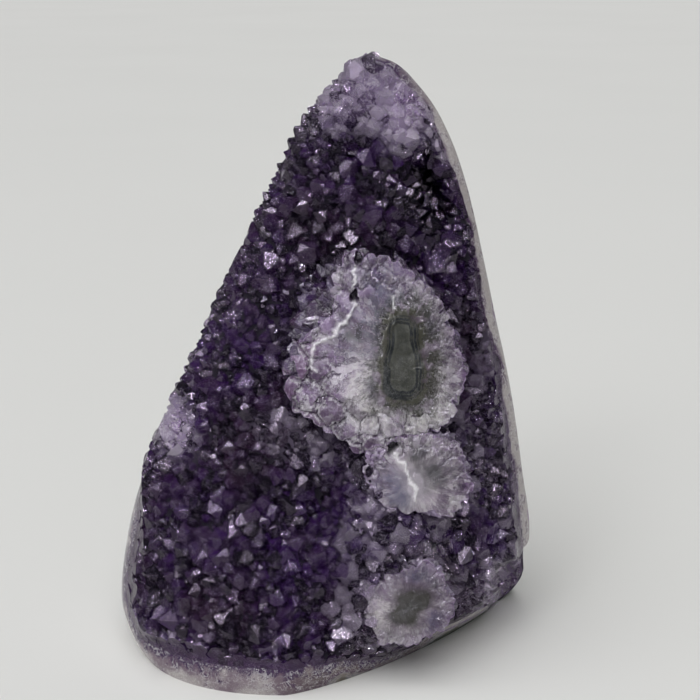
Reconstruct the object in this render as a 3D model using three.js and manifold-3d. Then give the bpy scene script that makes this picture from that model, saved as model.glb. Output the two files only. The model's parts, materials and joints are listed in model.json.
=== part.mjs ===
// A standing amethyst cluster, cut flat at its foot, in millimetres.
//
// One piece of geode wall: a smooth ground block of rock whose front is a druse of violet quartz
// points, with the stubs of three stalactites grown into it and ground across.
// Everything here grew together, so it is one closed solid.
//
// +Z is up, the druse faces -Y, and the origin is a point in the middle of the sawn foot.

import * as THREE from "three";
import { mergeVertices } from "three/addons/utils/BufferGeometryUtils.js";
import Module from "manifold-3d";

const wasm = await Module();
wasm.setup();

// ---------------------------------------------------------------- driving dimensions

const HEIGHT = 160; // from the sawn foot to the tip

// The block's lines, like a ship's: level sections from the foot to the tip. For each, its height,
// the x of its left edge, crest and right edge, the y of its front and back, and the y at which
// its left and right edges lie. The crest is where the front stands out furthest.
const SECTIONS = [
  { z: 0, left: -55, crest: -12, right: 55, front: -35, leftY: -2, rightY: 21, back: 33 },
  { z: 4, left: -57.5, crest: -11, right: 57, front: -35.5, leftY: -1, rightY: 18, back: 35 },
  { z: 14, left: -60, crest: -9, right: 58, front: -33, leftY: 0.5, rightY: 10, back: 36.5 },
  { z: 30, left: -58, crest: -6, right: 57.5, front: -28.5, leftY: 3, rightY: 4.5, back: 37 },
  { z: 50, left: -51.5, crest: -2, right: 54.5, front: -21.5, leftY: 6, rightY: 6.5, back: 37 },
  { z: 72, left: -41.5, crest: 2, right: 50.5, front: -14.5, leftY: 8.5, rightY: 9, back: 37 },
  { z: 92, left: -32, crest: 4, right: 45.7, front: -8, leftY: 11, rightY: 11.5, back: 36.5 },
  { z: 112, left: -22, crest: 6, right: 41, front: -1.5, leftY: 13.5, rightY: 14, back: 35.5 },
  { z: 130, left: -13.5, crest: 8, right: 36, front: 4.5, leftY: 16, rightY: 16, back: 34.5 },
  { z: 145, left: -5, crest: 10, right: 29.5, front: 10, leftY: 18, rightY: 18, back: 33 },
  { z: 154, left: 3, crest: 11.5, right: 22.5, front: 14, leftY: 19.5, rightY: 19.5, back: 30.5 },
  { z: 158.5, left: 7.5, crest: 12, right: 17, front: 17.5, leftY: 20.5, rightY: 20.5, back: 26 },
  { z: HEIGHT, left: 11, crest: 12, right: 13, front: 20.5, leftY: 21, rightY: 21, back: 22 },
];
// How square each quarter of a section is: 2 is an ellipse, less is flatter, more is squarer.
const SQUARENESS = { frontLeft: 2.2, frontRight: 1.5, back: 2.4 };

// Hills and hollows of the druse, by centre, half width, half height and rise, which is negative
// for a hollow. Turn is the lean of the long axis, in degrees, anticlockwise seen from the front.
const LANDFORMS = [
  { name: "ridge", x: 20, z: 62, halfX: 15, halfZ: 52, rise: 4, turn: 0 },
  { name: "upper lump", x: 12.5, z: 114, halfX: 9, halfZ: 9, rise: 5.5, turn: 0 },
  { name: "shoulder", x: 21, z: 145, halfX: 9, halfZ: 9, rise: 3, turn: 0 },
  { name: "pocket", x: 26.5, z: 124, halfX: 6, halfZ: 12, rise: -14, turn: 6 },
  { name: "right valley", x: 39, z: 92, halfX: 6, halfZ: 18, rise: -6, turn: 8 },
  { name: "left valley", x: 1, z: 52, halfX: 8, halfZ: 22, rise: -6, turn: 0 },
  { name: "left swell", x: -30, z: 42, halfX: 16, halfZ: 30, rise: 3, turn: -20 },
];

// The piece broken out of the lower right: its inner lower corner, its size, and the turn of its
// back wall, in degrees, anticlockwise from above.
const BREAK = { x: 48, y: 15, z: -1, wide: 40, deep: 50, high: 27, turn: -8 };

// The stalactite stubs, from the largest to the lowest: where the middle of each core meets the
// ground surface, the x of the axis of that surface, and how far the crystals round the core reach
// at each of twelve directions, anticlockwise from +X.
const STALACTITES = [
  { x: 19, z: 88.5, axis: 19, reach: [17, 16, 18, 22.5, 27, 28, 33, 33.5, 28, 23.5, 22.5, 19.5] },
  { x: 22.5, z: 55.5, axis: 28, reach: [16.5, 15.5, 15, 13, 14, 15.5, 15, 14, 12.5, 12, 13.5, 16.5] },
  { x: 21, z: 22.5, axis: 28, reach: [13, 13.5, 14, 12.5, 12.5, 14, 15, 13.5, 11, 9.5, 9.5, 11] },
];
const STUB_LENGTH = 26; // how deep a stub is rooted behind the ground surface
const LOBES = 15; // scallops round a stub's outline
const LOBE_DEPTH = 0.07; // their depth, as a share of the stub's reach

// The stubs are ground to large leaning cylinders, which are alike but for their axes.
const GRIND = { radius: 100, footY: -34.5, lean: 13 };

// Quartz points, which cover the druse.
const POINT_SPACING = 7.8;
const POINT_RADIUS = { least: 4.6, most: 6.4 };
const POINT_ROOT = 6; // how deep a point is rooted below the block's surface
const POINT_SINK = 0.4; // how deep the foot of its pyramid lies, for each unit of its radius
const POINT_SLOPE = 1.2; // height of its pyramid, for each unit of its radius
const POINT_TILT = 0.38; // most that it leans from square, in radians
const DRUSE = { foot: 8, tip: 156, left: 0.98, right: 0.88 };
const POLISHED_FOOT = { height: 34, left: 0.9 }; // the wider polished edge of the lower left

const SECTION_STEPS = 38; // round the block
const LEVELS = 24; // up the block

// ---------------------------------------------------------------- the block's surface

// The section at a height, by a smooth curve through the stated ones.
function sectionAt(z) {
  const last = SECTIONS.length - 1;
  let i = 0;
  while (i < last - 1 && SECTIONS[i + 1].z < z) i += 1;
  const near = [i - 1, i, i + 1, i + 2].map((k) => SECTIONS[THREE.MathUtils.clamp(k, 0, last)]);
  const share = (z - near[1].z) / (near[2].z - near[1].z);
  const section = {};
  for (const key of Object.keys(SECTIONS[0])) {
    section[key] = smoothBetween(...near.map((s) => s[key]), share);
  }
  return section;
}

// A value between b and c, on a curve that also follows their neighbours a and d.
function smoothBetween(a, b, c, d, share) {
  const slopeB = limited((c - a) / 2, c - b, b - a);
  const slopeC = limited((d - b) / 2, d - c, c - b);
  const square = share * share;
  const cube = square * share;
  const fromEnds = (2 * cube - 3 * square + 1) * b + (3 * square - 2 * cube) * c;
  return fromEnds + (cube - 2 * square + share) * slopeB + (cube - square) * slopeC;
}

// Keeps a curve from running past the points on each side of it.
function limited(slope, next, before) {
  if (next * before <= 0) return 0;
  return Math.sign(slope) * Math.min(Math.abs(slope), 2 * Math.abs(next), 2 * Math.abs(before));
}

// Rise of the landforms at a place on the front.
function landRise(x, z) {
  let rise = 0;
  for (const form of LANDFORMS) {
    const turn = THREE.MathUtils.degToRad(form.turn);
    const dx = x - form.x;
    const dz = z - form.z;
    const across = (dx * Math.cos(turn) + dz * Math.sin(turn)) / form.halfX;
    const along = (dz * Math.cos(turn) - dx * Math.sin(turn)) / form.halfZ;
    rise += form.rise * Math.exp(-(across ** 2) - along ** 2);
  }
  return rise;
}

// A point of the surface. Turn 0 is the right edge, a quarter turn the front, a half the left.
function surfacePoint(turn, z) {
  const s = sectionAt(z);
  const c = Math.cos(turn);
  const f = Math.sin(turn);
  const square = squareness(c, f);
  const reach = c >= 0 ? s.right - s.crest : s.crest - s.left;
  const edgeY = c >= 0 ? s.rightY : s.leftY;
  const x = s.crest + Math.sign(c) * reach * Math.abs(c) ** (2 / square);
  const swell = Math.abs(f) ** (2 / square);
  if (f < 0) return new THREE.Vector3(x, edgeY + (s.back - edgeY) * swell, z);
  const y = edgeY + (s.front - edgeY) * swell - landRise(x, z) * insideDruse(f, z);
  return new THREE.Vector3(x, y, z);
}

function squareness(c, f) {
  if (f < 0) return SQUARENESS.back;
  return c >= 0 ? SQUARENESS.frontRight : SQUARENESS.frontLeft;
}

// 1 well inside the druse, falling to 0 at the block's edges and tip.
function insideDruse(f, z) {
  return THREE.MathUtils.smoothstep(f, 0.1, 0.45) * THREE.MathUtils.smoothstep(HEIGHT - z, 2, 12);
}

// The turn at which the front of the surface has a given x.
function turnAt(x, z) {
  const s = sectionAt(z);
  const right = x >= s.crest;
  const reach = right ? s.right - s.crest : s.crest - s.left;
  const share = Math.min(Math.abs(x - s.crest) / reach, 1) ** (squareness(right ? 1 : -1, 1) / 2);
  return Math.acos(Math.sign(x - s.crest) * share);
}

function surfaceNormal(turn, z) {
  const step = 0.02;
  const round = surfacePoint(turn + step, z).sub(surfacePoint(turn - step, z));
  const up = surfacePoint(turn, z + 1).sub(surfacePoint(turn, z - 1));
  return up.cross(round).normalize();
}

// ---------------------------------------------------------------- solids

// A closed three.js geometry as a solid.
function solid(geometry) {
  const bare = new THREE.BufferGeometry();
  bare.setAttribute("position", geometry.getAttribute("position"));
  bare.setIndex(geometry.index);
  const merged = mergeVertices(bare, 1e-4);
  return new wasm.Manifold(
    new wasm.Mesh({
      numProp: 3,
      vertProperties: Float32Array.from(merged.attributes.position.array),
      triVerts: Uint32Array.from(merged.index.array),
    }),
  );
}

// The block: rings of surface points from the foot to the tip, closed by the sawn foot.
function makeBlock() {
  const corners = [];
  for (let level = 0; level < LEVELS; level += 1) {
    const z = HEIGHT * (1 - (1 - level / LEVELS) ** 1.4);
    for (let step = 0; step < SECTION_STEPS; step += 1) {
      corners.push(...surfacePoint((2 * Math.PI * step) / SECTION_STEPS, z).toArray());
    }
  }
  const foot = corners.length / 3;
  const tip = foot + 1;
  corners.push(0, 0, 0);
  corners.push(...surfacePoint(Math.PI / 2, HEIGHT).toArray());
  const faces = [];
  for (let step = 0; step < SECTION_STEPS; step += 1) {
    const next = (step + 1) % SECTION_STEPS;
    const top = (LEVELS - 1) * SECTION_STEPS;
    faces.push(foot, step, next);
    faces.push(tip, top + next, top + step);
    for (let low = 0; low < top; low += SECTION_STEPS) {
      const high = low + SECTION_STEPS;
      faces.push(low + step, high + step, high + next);
      faces.push(low + step, high + next, low + next);
    }
  }
  const geometry = new THREE.BufferGeometry();
  geometry.setAttribute("position", new THREE.Float32BufferAttribute(corners, 3));
  geometry.setIndex(faces);
  return solid(geometry);
}

// What is missing at the lower right.
function makeBreak() {
  const geometry = new THREE.BoxGeometry(BREAK.wide, BREAK.deep, BREAK.high);
  geometry.translate(BREAK.wide / 2, -BREAK.deep / 2, BREAK.high / 2);
  geometry.rotateZ(THREE.MathUtils.degToRad(BREAK.turn));
  geometry.translate(BREAK.x, BREAK.y, BREAK.z);
  return solid(geometry);
}

// Everything below the sawn foot.
function makeBelow() {
  const geometry = new THREE.BoxGeometry(2 * HEIGHT, 2 * HEIGHT, HEIGHT);
  return solid(geometry.translate(0, 0, -HEIGHT / 2));
}

// Depth of the ground surface that has its axis at a given x.
function groundY(x, z, axis) {
  const aside = x - axis;
  const round = GRIND.radius - Math.sqrt(GRIND.radius ** 2 - aside ** 2);
  return GRIND.footY + z * Math.tan(THREE.MathUtils.degToRad(GRIND.lean)) + round;
}

// All that is left of a stub after grinding: a wide cylinder that leans with the front.
function makeGrinding(axis) {
  const geometry = new THREE.CylinderGeometry(GRIND.radius, GRIND.radius, 3 * HEIGHT, 64);
  geometry.rotateX(Math.PI / 2 - THREE.MathUtils.degToRad(GRIND.lean));
  geometry.translate(axis, GRIND.footY + GRIND.radius, 0);
  return solid(geometry);
}

// One stub: its scalloped outline, rooted in the block and ground across.
function makeStub({ x, z, axis, reach }) {
  const outline = new THREE.Shape();
  const steps = 4 * LOBES;
  for (let i = 0; i < steps; i += 1) {
    const share = i / steps;
    const place = share * reach.length;
    const low = Math.floor(place);
    const near = [-1, 0, 1, 2].map((k) => reach[(low + k + reach.length) % reach.length]);
    const lobe = 1 - LOBE_DEPTH * (0.5 + 0.5 * Math.cos(2 * Math.PI * LOBES * share));
    const radius = smoothBetween(...near, place - low) * lobe;
    const angle = 2 * Math.PI * share;
    if (i === 0) outline.moveTo(radius * Math.cos(angle), radius * Math.sin(angle));
    else outline.lineTo(radius * Math.cos(angle), radius * Math.sin(angle));
  }
  const geometry = new THREE.ExtrudeGeometry(outline, { depth: 2 * STUB_LENGTH, bevelEnabled: false });
  geometry.translate(0, 0, -STUB_LENGTH);
  geometry.rotateX(Math.PI / 2 - THREE.MathUtils.degToRad(GRIND.lean));
  geometry.translate(x, groundY(x, z, axis), z);
  return solid(geometry).intersect(makeGrinding(axis));
}

// One quartz point: a six-sided pyramid on a tapering root.
function makePoint(place, axis, radius, twist) {
  const profile = [
    new THREE.Vector2(0, -POINT_ROOT),
    new THREE.Vector2(radius * 0.6, -POINT_ROOT),
    new THREE.Vector2(radius, -POINT_SINK * radius),
    new THREE.Vector2(0, (POINT_SLOPE - POINT_SINK) * radius),
  ];
  const geometry = new THREE.LatheGeometry(profile, 6, twist);
  const standing = new THREE.Quaternion().setFromUnitVectors(new THREE.Vector3(0, 1, 0), axis);
  geometry.applyQuaternion(standing).translate(place.x, place.y, place.z);
  return solid(geometry);
}

// A repeatable stream of numbers from 0 to 1.
function seeded(seed) {
  let state = seed;
  return () => {
    state = (state * 1664525 + 1013904223) % 4294967296;
    return state / 4294967296;
  };
}

// Whether a place on the front lies under a stub, where no point can grow.
function underStub(x, z) {
  return STALACTITES.some((stub) => Math.hypot(x - stub.x, z - stub.z) < Math.min(...stub.reach));
}

// Quartz points all over the druse, in staggered rows with uneven places, sizes and leans.
function makePoints() {
  const random = seeded(7);
  const spread = (amount) => (random() - 0.5) * 2 * amount;
  const points = [];
  const rowHeight = POINT_SPACING * 0.86;
  for (let row = 0, z = DRUSE.foot; z < DRUSE.tip; row += 1, z += rowHeight) {
    const s = sectionAt(z);
    const edge = z < POLISHED_FOOT.height ? POLISHED_FOOT.left : DRUSE.left;
    const left = s.crest + (s.left - s.crest) * edge;
    const right = s.crest + (s.right - s.crest) * DRUSE.right;
    for (let x = left + (row % 2) * POINT_SPACING * 0.5; x < right; x += POINT_SPACING) {
      const atX = THREE.MathUtils.clamp(x + spread(1.6), left, right);
      const atZ = z + spread(1.6);
      const radius = THREE.MathUtils.lerp(POINT_RADIUS.least, POINT_RADIUS.most, random() ** 1.4);
      const lean = new THREE.Vector3(spread(POINT_TILT), spread(POINT_TILT), spread(POINT_TILT));
      const twist = random() * Math.PI;
      if (underStub(atX, atZ)) continue;
      const turn = turnAt(atX, atZ);
      const axis = surfaceNormal(turn, atZ).add(lean).normalize();
      points.push(makePoint(surfacePoint(turn, atZ), axis, radius, twist));
    }
  }
  return points;
}

// Joins solids two by two, which keeps each join small.
function joined(solids) {
  let left = solids;
  while (left.length > 1) {
    const pairs = [];
    for (let i = 0; i < left.length; i += 2) {
      pairs.push(i + 1 < left.length ? left[i].add(left[i + 1]) : left[i]);
    }
    left = pairs;
  }
  return left[0];
}

function makeCluster() {
  const grown = joined([makeBlock(), ...STALACTITES.map(makeStub), ...makePoints()]);
  const mesh = grown.subtract(makeBreak()).subtract(makeBelow()).getMesh();
  const geometry = new THREE.BufferGeometry();
  geometry.setAttribute("position", new THREE.BufferAttribute(mesh.vertProperties, 3));
  geometry.setIndex(new THREE.BufferAttribute(mesh.triVerts, 1));
  geometry.computeVertexNormals();
  return geometry;
}

// ---------------------------------------------------------------- the object

const amethyst = new THREE.MeshStandardMaterial({ color: 0x3b2a55, roughness: 0.22, metalness: 0 });
const cluster = new THREE.Mesh(makeCluster(), amethyst);
cluster.name = "amethyst_cluster";

const specimen = new THREE.Group();
specimen.add(cluster);

export default specimen;
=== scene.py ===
"""A standing amethyst cluster: a druse of violet quartz points on a ground block of geode wall, with
three stalactites ground across so that their cores show. Lengths in the tables are millimetres."""

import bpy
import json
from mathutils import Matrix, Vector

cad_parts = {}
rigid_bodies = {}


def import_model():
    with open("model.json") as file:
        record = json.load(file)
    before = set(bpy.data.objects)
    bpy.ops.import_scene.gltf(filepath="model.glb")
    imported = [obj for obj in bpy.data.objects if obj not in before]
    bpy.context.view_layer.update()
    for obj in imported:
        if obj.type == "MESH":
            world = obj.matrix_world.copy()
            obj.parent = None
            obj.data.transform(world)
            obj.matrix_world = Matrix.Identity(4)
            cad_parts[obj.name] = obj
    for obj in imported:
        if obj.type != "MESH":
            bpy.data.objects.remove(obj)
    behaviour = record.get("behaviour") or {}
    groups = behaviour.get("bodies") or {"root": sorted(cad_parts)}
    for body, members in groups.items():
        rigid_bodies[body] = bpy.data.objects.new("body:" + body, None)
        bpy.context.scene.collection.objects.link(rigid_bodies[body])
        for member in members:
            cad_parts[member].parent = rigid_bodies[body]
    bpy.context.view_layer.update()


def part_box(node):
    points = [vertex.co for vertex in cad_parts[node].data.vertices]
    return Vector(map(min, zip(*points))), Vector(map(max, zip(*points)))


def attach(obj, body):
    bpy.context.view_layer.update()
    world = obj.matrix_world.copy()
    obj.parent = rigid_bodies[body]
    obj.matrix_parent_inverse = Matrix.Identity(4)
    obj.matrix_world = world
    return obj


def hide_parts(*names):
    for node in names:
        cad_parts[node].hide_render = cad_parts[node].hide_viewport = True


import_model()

import json
import math
import random
from functools import reduce

import bmesh
import bpy
import numpy as np
from bpy.props import FloatProperty, FloatVectorProperty, IntProperty, PointerProperty
from mathutils import Matrix, Vector, noise

bl_info = {
    "name": "Amethyst cluster",
    "version": (1, 0, 0),
    "blender": (4, 5, 0),
    "location": "View3D > Sidebar > Cluster",
    "description": "Builds a standing amethyst cluster with ground stalactites, in pieces",
    "category": "Object",
}

NODE = "amethyst_cluster"
HEIGHT = 160.0
MM = (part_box(NODE)[1][2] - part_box(NODE)[0][2]) / HEIGHT  # metres for each millimetre below

# ------------------------------------------------------------------ the block's lines

# Level sections of the block: height, x of the left edge, crest and right edge, y of the front, of
# the left and right edges, and of the back.
SECTIONS = np.array((
    (0, -55, -12, 55, -35, -2, 21, 33),
    (4, -57.5, -11, 57, -35.5, -1, 18, 35),
    (14, -60, -9, 58, -33, 0.5, 10, 36.5),
    (30, -58, -6, 57.5, -28.5, 3, 4.5, 37),
    (50, -51.5, -2, 54.5, -21.5, 6, 6.5, 37),
    (72, -41.5, 2, 50.5, -14.5, 8.5, 9, 37),
    (92, -32, 4, 45.7, -8, 11, 11.5, 36.5),
    (112, -22, 6, 41, -1.5, 13.5, 14, 35.5),
    (130, -13.5, 8, 36, 4.5, 16, 16, 34.5),
    (145, -5, 10, 29.5, 10, 18, 18, 33),
    (154, 3, 11.5, 22.5, 14, 19.5, 19.5, 30.5),
    (158.5, 7.5, 12, 17, 17.5, 20.5, 20.5, 26),
    (160, 11, 12, 13, 20.5, 21, 21, 22),
), float)
FRONT_LEFT, FRONT_RIGHT, BACK = 2.2, 1.5, 2.4  # squareness of each quarter of a section
TIP = (12, 21, 160)

# Hills and hollows of the druse: x, height, half width, half height, rise, turn in degrees.
LANDFORMS = (
    (20, 62, 15, 52, 4, 0),  # ridge
    (12.5, 114, 9, 9, 5.5, 0),  # upper lump
    (21, 145, 9, 9, 3, 0),  # shoulder
    (27, 127, 6.5, 10, -15, 6),  # pocket
    (39, 92, 6, 18, -6, 8),  # right valley
    (1, 52, 8, 22, -6, 0),  # left valley
    (-30, 42, 16, 30, 3, -20),  # left swell
)

# The piece missing at the lower right: the inner corner of its foot, and the turn of its back wall.
BREAK = {"x": 48, "y": 15, "wide": 40, "deep": 50, "high": 26, "turn": -8}

# The surface that the stalactites are ground to: a large leaning cylinder.
GRIND = {"radius": 100, "x": 19, "turn": 9, "foot_y": -34.5, "lean": math.radians(13)}

# Each stalactite has these entries.
# - x, z: the middle of its core on the ground surface. Its other places are given from there.
# - reach, width, milky, rosy, natural: for twelve directions, anticlockwise from +X, how far its
#   crystals reach, how wide they are, how milky, how rosy, and how far they are left unground.
# - core: half height, radius at the foot and at the top, and how far the top leans to the right.
# - eye: how far opaque dark quartz reaches beyond the core's outline, less than 0 for none.
# - moat: how far the bed sinks round it.
# - pits, clear, murky: places with a radius, for pits and for bluish and grey patches.
# - white_ridge_highlights: the courses of ridges whose white is partly the quartz's own and partly a
#   painted highlight along the polished crest.
# - milky_from, glassy_from: how far beyond the core's outline fibres and glassy patches start.
# - lit, speckled: how white its shards and specks are at most.
# - ragged: how broken its white ridges and their painted highlights are.
# - plain: how far plainer bands take the place of its own, in patches.
# - uneven: how wavy its bands are.
# - natural_colour: the paler of the colours of its unground points.
# - seed: picks the arrangement of its crystals and lobes.
STALACTITES = {
    "large": {
        "x": 19, "z": 88.5,
        "reach": (16, 14.5, 17, 23, 29.5, 32, 35, 33.5, 27.5, 22.5, 21.5, 18.5),
        "width": (3.6, 3.6, 3.8, 4.2, 5, 5, 7.5, 9, 8, 6, 4.2, 3.8),
        "milky": (0.2, 0.3, 0.3, 0.25, 0.2, 0.3, 0.5, 0.85, 1, 1, 0.9, 0.35),
        "rosy": (0.2, 0.1, 0.1, 0.1, 0.3, 0.5, 1, 1, 0.8, 0.4, 0.2, 0.2),
        "natural": (0, 0, 0, 0, 0, 0.95, 0.45, 0.05, 0, 0, 0, 0),
        "core": (6.2, 3.6, 2.4, -0.2),
        "eye": 3.4,
        "moat": 4.5,
        "pits": ((-12.6, 14.6, 1.3), (-11.4, 24, 1.3)),
        "clear": ((-12, 5, 5.5), (-6.5, 18, 7)),
        "murky": ((6.5, 7, 3), (-6.5, -8.5, 3), (-12.4, 4.6, 3.5)),
        "white_ridge_highlights": (
            ((-12.4, 22), (-12.4, 16.5)),
            ((-11.9, 14.9), (-12.6, 11.6), (-14.8, 8), (-16.9, 6.9), (-17.3, 4.6), (-19.9, 3.6)),
            ((-19.9, 3.6), (-22.8, 2.1), (-23.2, -0.5), (-24.3, -2.4), (-22.4, -4.9)),
            ((-2.6, 15), (-2.2, 8.3)),
            ((3.4, -4), (5, -4.2)),
        ),
        "milky_from": 4.5, "glassy_from": 3, "lit": 0.6, "speckled": 0.9, "ragged": 0.4,
        "plain": 0.6, "uneven": 0.35, "natural_colour": (0.2, 0.15, 0.27),
        "seed": 11,
    },
    "middle": {
        "x": 22.5, "z": 55.5,
        "reach": (16, 15, 15, 12.5, 13.5, 15.5, 14.5, 13.5, 12, 11, 13, 16.5),
        "width": (3.8, 4.2, 4.5, 4.5, 5, 5, 4.5, 3.6, 3.4, 3.4, 3.6, 4),
        "milky": (0.5, 0.5, 0.5, 0.6, 0.5, 0.4, 0.3, 0.4, 0.6, 0.6, 0.4, 0.4),
        "rosy": (0.7, 0.6, 0.5, 0.5, 0.6, 0.6, 0.5, 0.4, 0.4, 0.5, 0.7, 0.7),
        "natural": (0.2, 0, 0, 0, 0, 0, 0.3, 0.7, 1, 1, 0.8, 0.4),
        "core": (1.0, 0.5, 0.5, 0),
        "eye": -9,
        "moat": -1,
        "pits": ((-6.5, 10.4, 2.0), (-12, 3, 1.0)),
        "clear": ((-7.2, 0.5, 4.5), (-4, -5, 3)),
        "murky": ((5.2, 2.8, 4), (1, 8, 2.5)),
        "white_ridge_highlights": (
            ((-5.7, 8.1), (-3.1, 4.6), (-0.8, 0.5), (-0.5, -1.6)),
            ((-0.2, -0.5), (0, -4.2)),
        ),
        "milky_from": 0.8, "glassy_from": 1, "lit": 0.6, "speckled": 0.4, "ragged": 0,
        "plain": 0, "uneven": 0.35, "natural_colour": (0.46, 0.38, 0.55),
        "seed": 12,
    },
    "lower": {
        "x": 21, "z": 22.5,
        "reach": (12.5, 13.5, 14.5, 13, 13, 15.5, 16.5, 14.5, 11.5, 9.5, 9, 10.5),
        "width": (3.8, 4.2, 4.2, 3.8, 4, 4.5, 4.5, 4, 3.4, 3.2, 3.4, 3.6),
        "milky": (0.3, 0.25, 0.25, 0.2, 0.3, 0.4, 0.7, 0.7, 0.6, 0.5, 0.4, 0.35),
        "rosy": (0.5, 0.4, 0.3, 0.3, 0.6, 0.8, 0.8, 0.8, 0.6, 0.4, 0.4, 0.5),
        "natural": (0, 0.2, 0, 0.3, 0.5, 0.5, 0.2, 0.1, 0, 0, 0, 0),
        "core": (0.6, 1.9, 2.9, 1.3),
        "eye": -9,
        "moat": 0.8,
        "pits": ((-8, 9, 1.4),),
        "clear": ((7, -3, 3), (2, 8, 4)),
        "murky": ((-4, -5.5, 3), (5, 5, 3)),
        "white_ridge_highlights": (),
        "milky_from": 0.8, "glassy_from": 3, "lit": 0.3, "speckled": 0.4, "ragged": 0.4,
        "plain": 0.6, "uneven": 0.9, "natural_colour": (0.46, 0.38, 0.55),
        "seed": 13,
    },
}


def between(at, heights, values):
    """Values on a smooth curve through those at the stated heights, which never runs past them."""
    step = np.diff(heights)
    slope = np.diff(values) / step
    tangent = np.concatenate((slope[:1], np.zeros(len(slope) - 1), slope[-1:]))
    rising = slope[:-1] * slope[1:] > 0
    near, far = 2 * step[1:] + step[:-1], step[1:] + 2 * step[:-1]
    before, after = np.where(rising, slope[:-1], 1), np.where(rising, slope[1:], 1)
    tangent[1:-1] = np.where(rising, (near + far) / (near / before + far / after), 0)
    i = np.clip(np.searchsorted(heights, at) - 1, 0, len(step) - 1)
    t = (at - heights[i]) / step[i]
    ends = (1 + 2 * t) * (1 - t) ** 2 * values[i] + t * t * (3 - 2 * t) * values[i + 1]
    return ends + (t * (1 - t) ** 2 * tangent[i] + t * t * (t - 1) * tangent[i + 1]) * step[i]


def section(z):
    """Left, crest, right, front, left edge's y, right edge's y and back, at each height."""
    return [between(z, SECTIONS[:, 0], SECTIONS[:, column]) for column in range(1, 8)]


def smooth(value, low, high):
    """A smooth rise from 0 at low to 1 at high."""
    t = np.clip((value - low) / (high - low), 0, 1)
    return t * t * (3 - 2 * t)


def around(values, angle):
    """Values for evenly spaced directions, at any angle."""
    place = (np.asarray(angle) / (2 * math.pi) * len(values)) % len(values)
    ring = np.array((*values, values[0]), float)
    return np.interp(place, np.arange(len(ring)), ring)


def land(x, z):
    """Rise of the hills and hollows at places on the front."""
    rise = np.zeros_like(x)
    for cx, cz, half_x, half_z, amount, turn in LANDFORMS:
        c, s = math.cos(math.radians(turn)), math.sin(math.radians(turn))
        across, along = (x - cx) * c + (z - cz) * s, (z - cz) * c - (x - cx) * s
        rise += amount * np.exp(-((across / half_x) ** 2) - (along / half_z) ** 2)
    return rise


def lumps(points, scale, seed, octaves=3):
    """Smooth unevenness from -1 to 1, with lumps of about the given size."""
    shift = Vector((seed * 17.3, seed * 5.1, seed * 9.7))
    flat = points.reshape(-1, 3).tolist()
    values = [noise.fractal(Vector(p) / scale + shift, 1.0, 2.0, octaves) for p in flat]
    return np.array(values).reshape(points.shape[:-1])


def block_point(turn, z):
    """Places on the smooth block, and the y of the nearer edge. Turn 0 is the right edge."""
    left, crest, right, front, left_y, right_y, back = section(z)
    c, f = np.cos(turn), np.sin(turn)
    on_right = c >= 0
    right_square = FRONT_RIGHT - 0.22 * (1 - smooth(z, 0, 20))
    square = np.where(f < 0, BACK, np.where(on_right, right_square, FRONT_LEFT))
    x = crest + np.where(on_right, right - crest, crest - left) * np.sign(c) * np.abs(c) ** (2 / square)
    edge = np.where(on_right, right_y, left_y)
    y = edge + np.where(f < 0, back - edge, front - edge) * np.abs(f) ** (2 / square)
    return np.stack((x, y, z), -1), edge


def ground_y(x, z):
    """Depth of the surface that the stalactites are ground to. Low down it faces further left."""
    middle = GRIND["x"] + GRIND["turn"] * (1 - smooth(z, 58, 74))
    aside = np.clip(np.abs(x - middle), 0, GRIND["radius"] * 0.95)
    hollow = GRIND["radius"] - np.sqrt(GRIND["radius"] ** 2 - aside ** 2)
    return GRIND["foot_y"] + z * math.tan(GRIND["lean"]) + hollow


def ground_at(x, z):
    """A place on the ground surface."""
    return np.array((x, float(ground_y(np.array(float(x)), np.array(float(z)))), z))


def share_of_reach(form, x, z):
    """Distance from a stalactite's core as a share of how far its crystals reach."""
    dx, dz = x - form["x"], z - form["z"]
    return np.hypot(dx, dz) / around(form["reach"], np.arctan2(dz, dx))


def from_stalactites(x, z):
    """Distance from the nearest core as a share of how far its crystals reach."""
    return np.min([share_of_reach(form, x, z) for form in STALACTITES.values()], axis=0)


def moats(x, z):
    """How far the bed sinks round the stalactites."""
    return np.max([form["moat"] * smooth(1.32 - share_of_reach(form, x, z), 0, 0.4)
                   for form in STALACTITES.values()], axis=0)


def inside_druse(turn, points, edge):
    """Millimetres in from the druse's border, less than 0 outside it."""
    x, y, z = points[..., 0], points[..., 1], points[..., 2]
    left, _, right = section(z)[:3]
    c, f = np.cos(turn), np.sin(turn)
    from_side = np.where(f < 0, edge - y, np.where(c >= 0, right - x, x - left))
    polished = np.where(c >= 0, 2.8, 6 - 3 * smooth(z, 8, 18) - 6.5 * smooth(z, 34, 52))
    foot = 8.5 - 4.5 * smooth(x, 2, 16) + 5 * smooth(x, 22, 32)
    return np.minimum(from_side - polished, z - foot) + 1.2 * lumps(points, 9, 4)


def spot(x, z, at, half_x, half_z):
    """1 at a place on the front, falling to 0 about it."""
    return np.exp(-(((x - at[0]) / half_x) ** 2) - ((z - at[1]) / half_z) ** 2)


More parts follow.
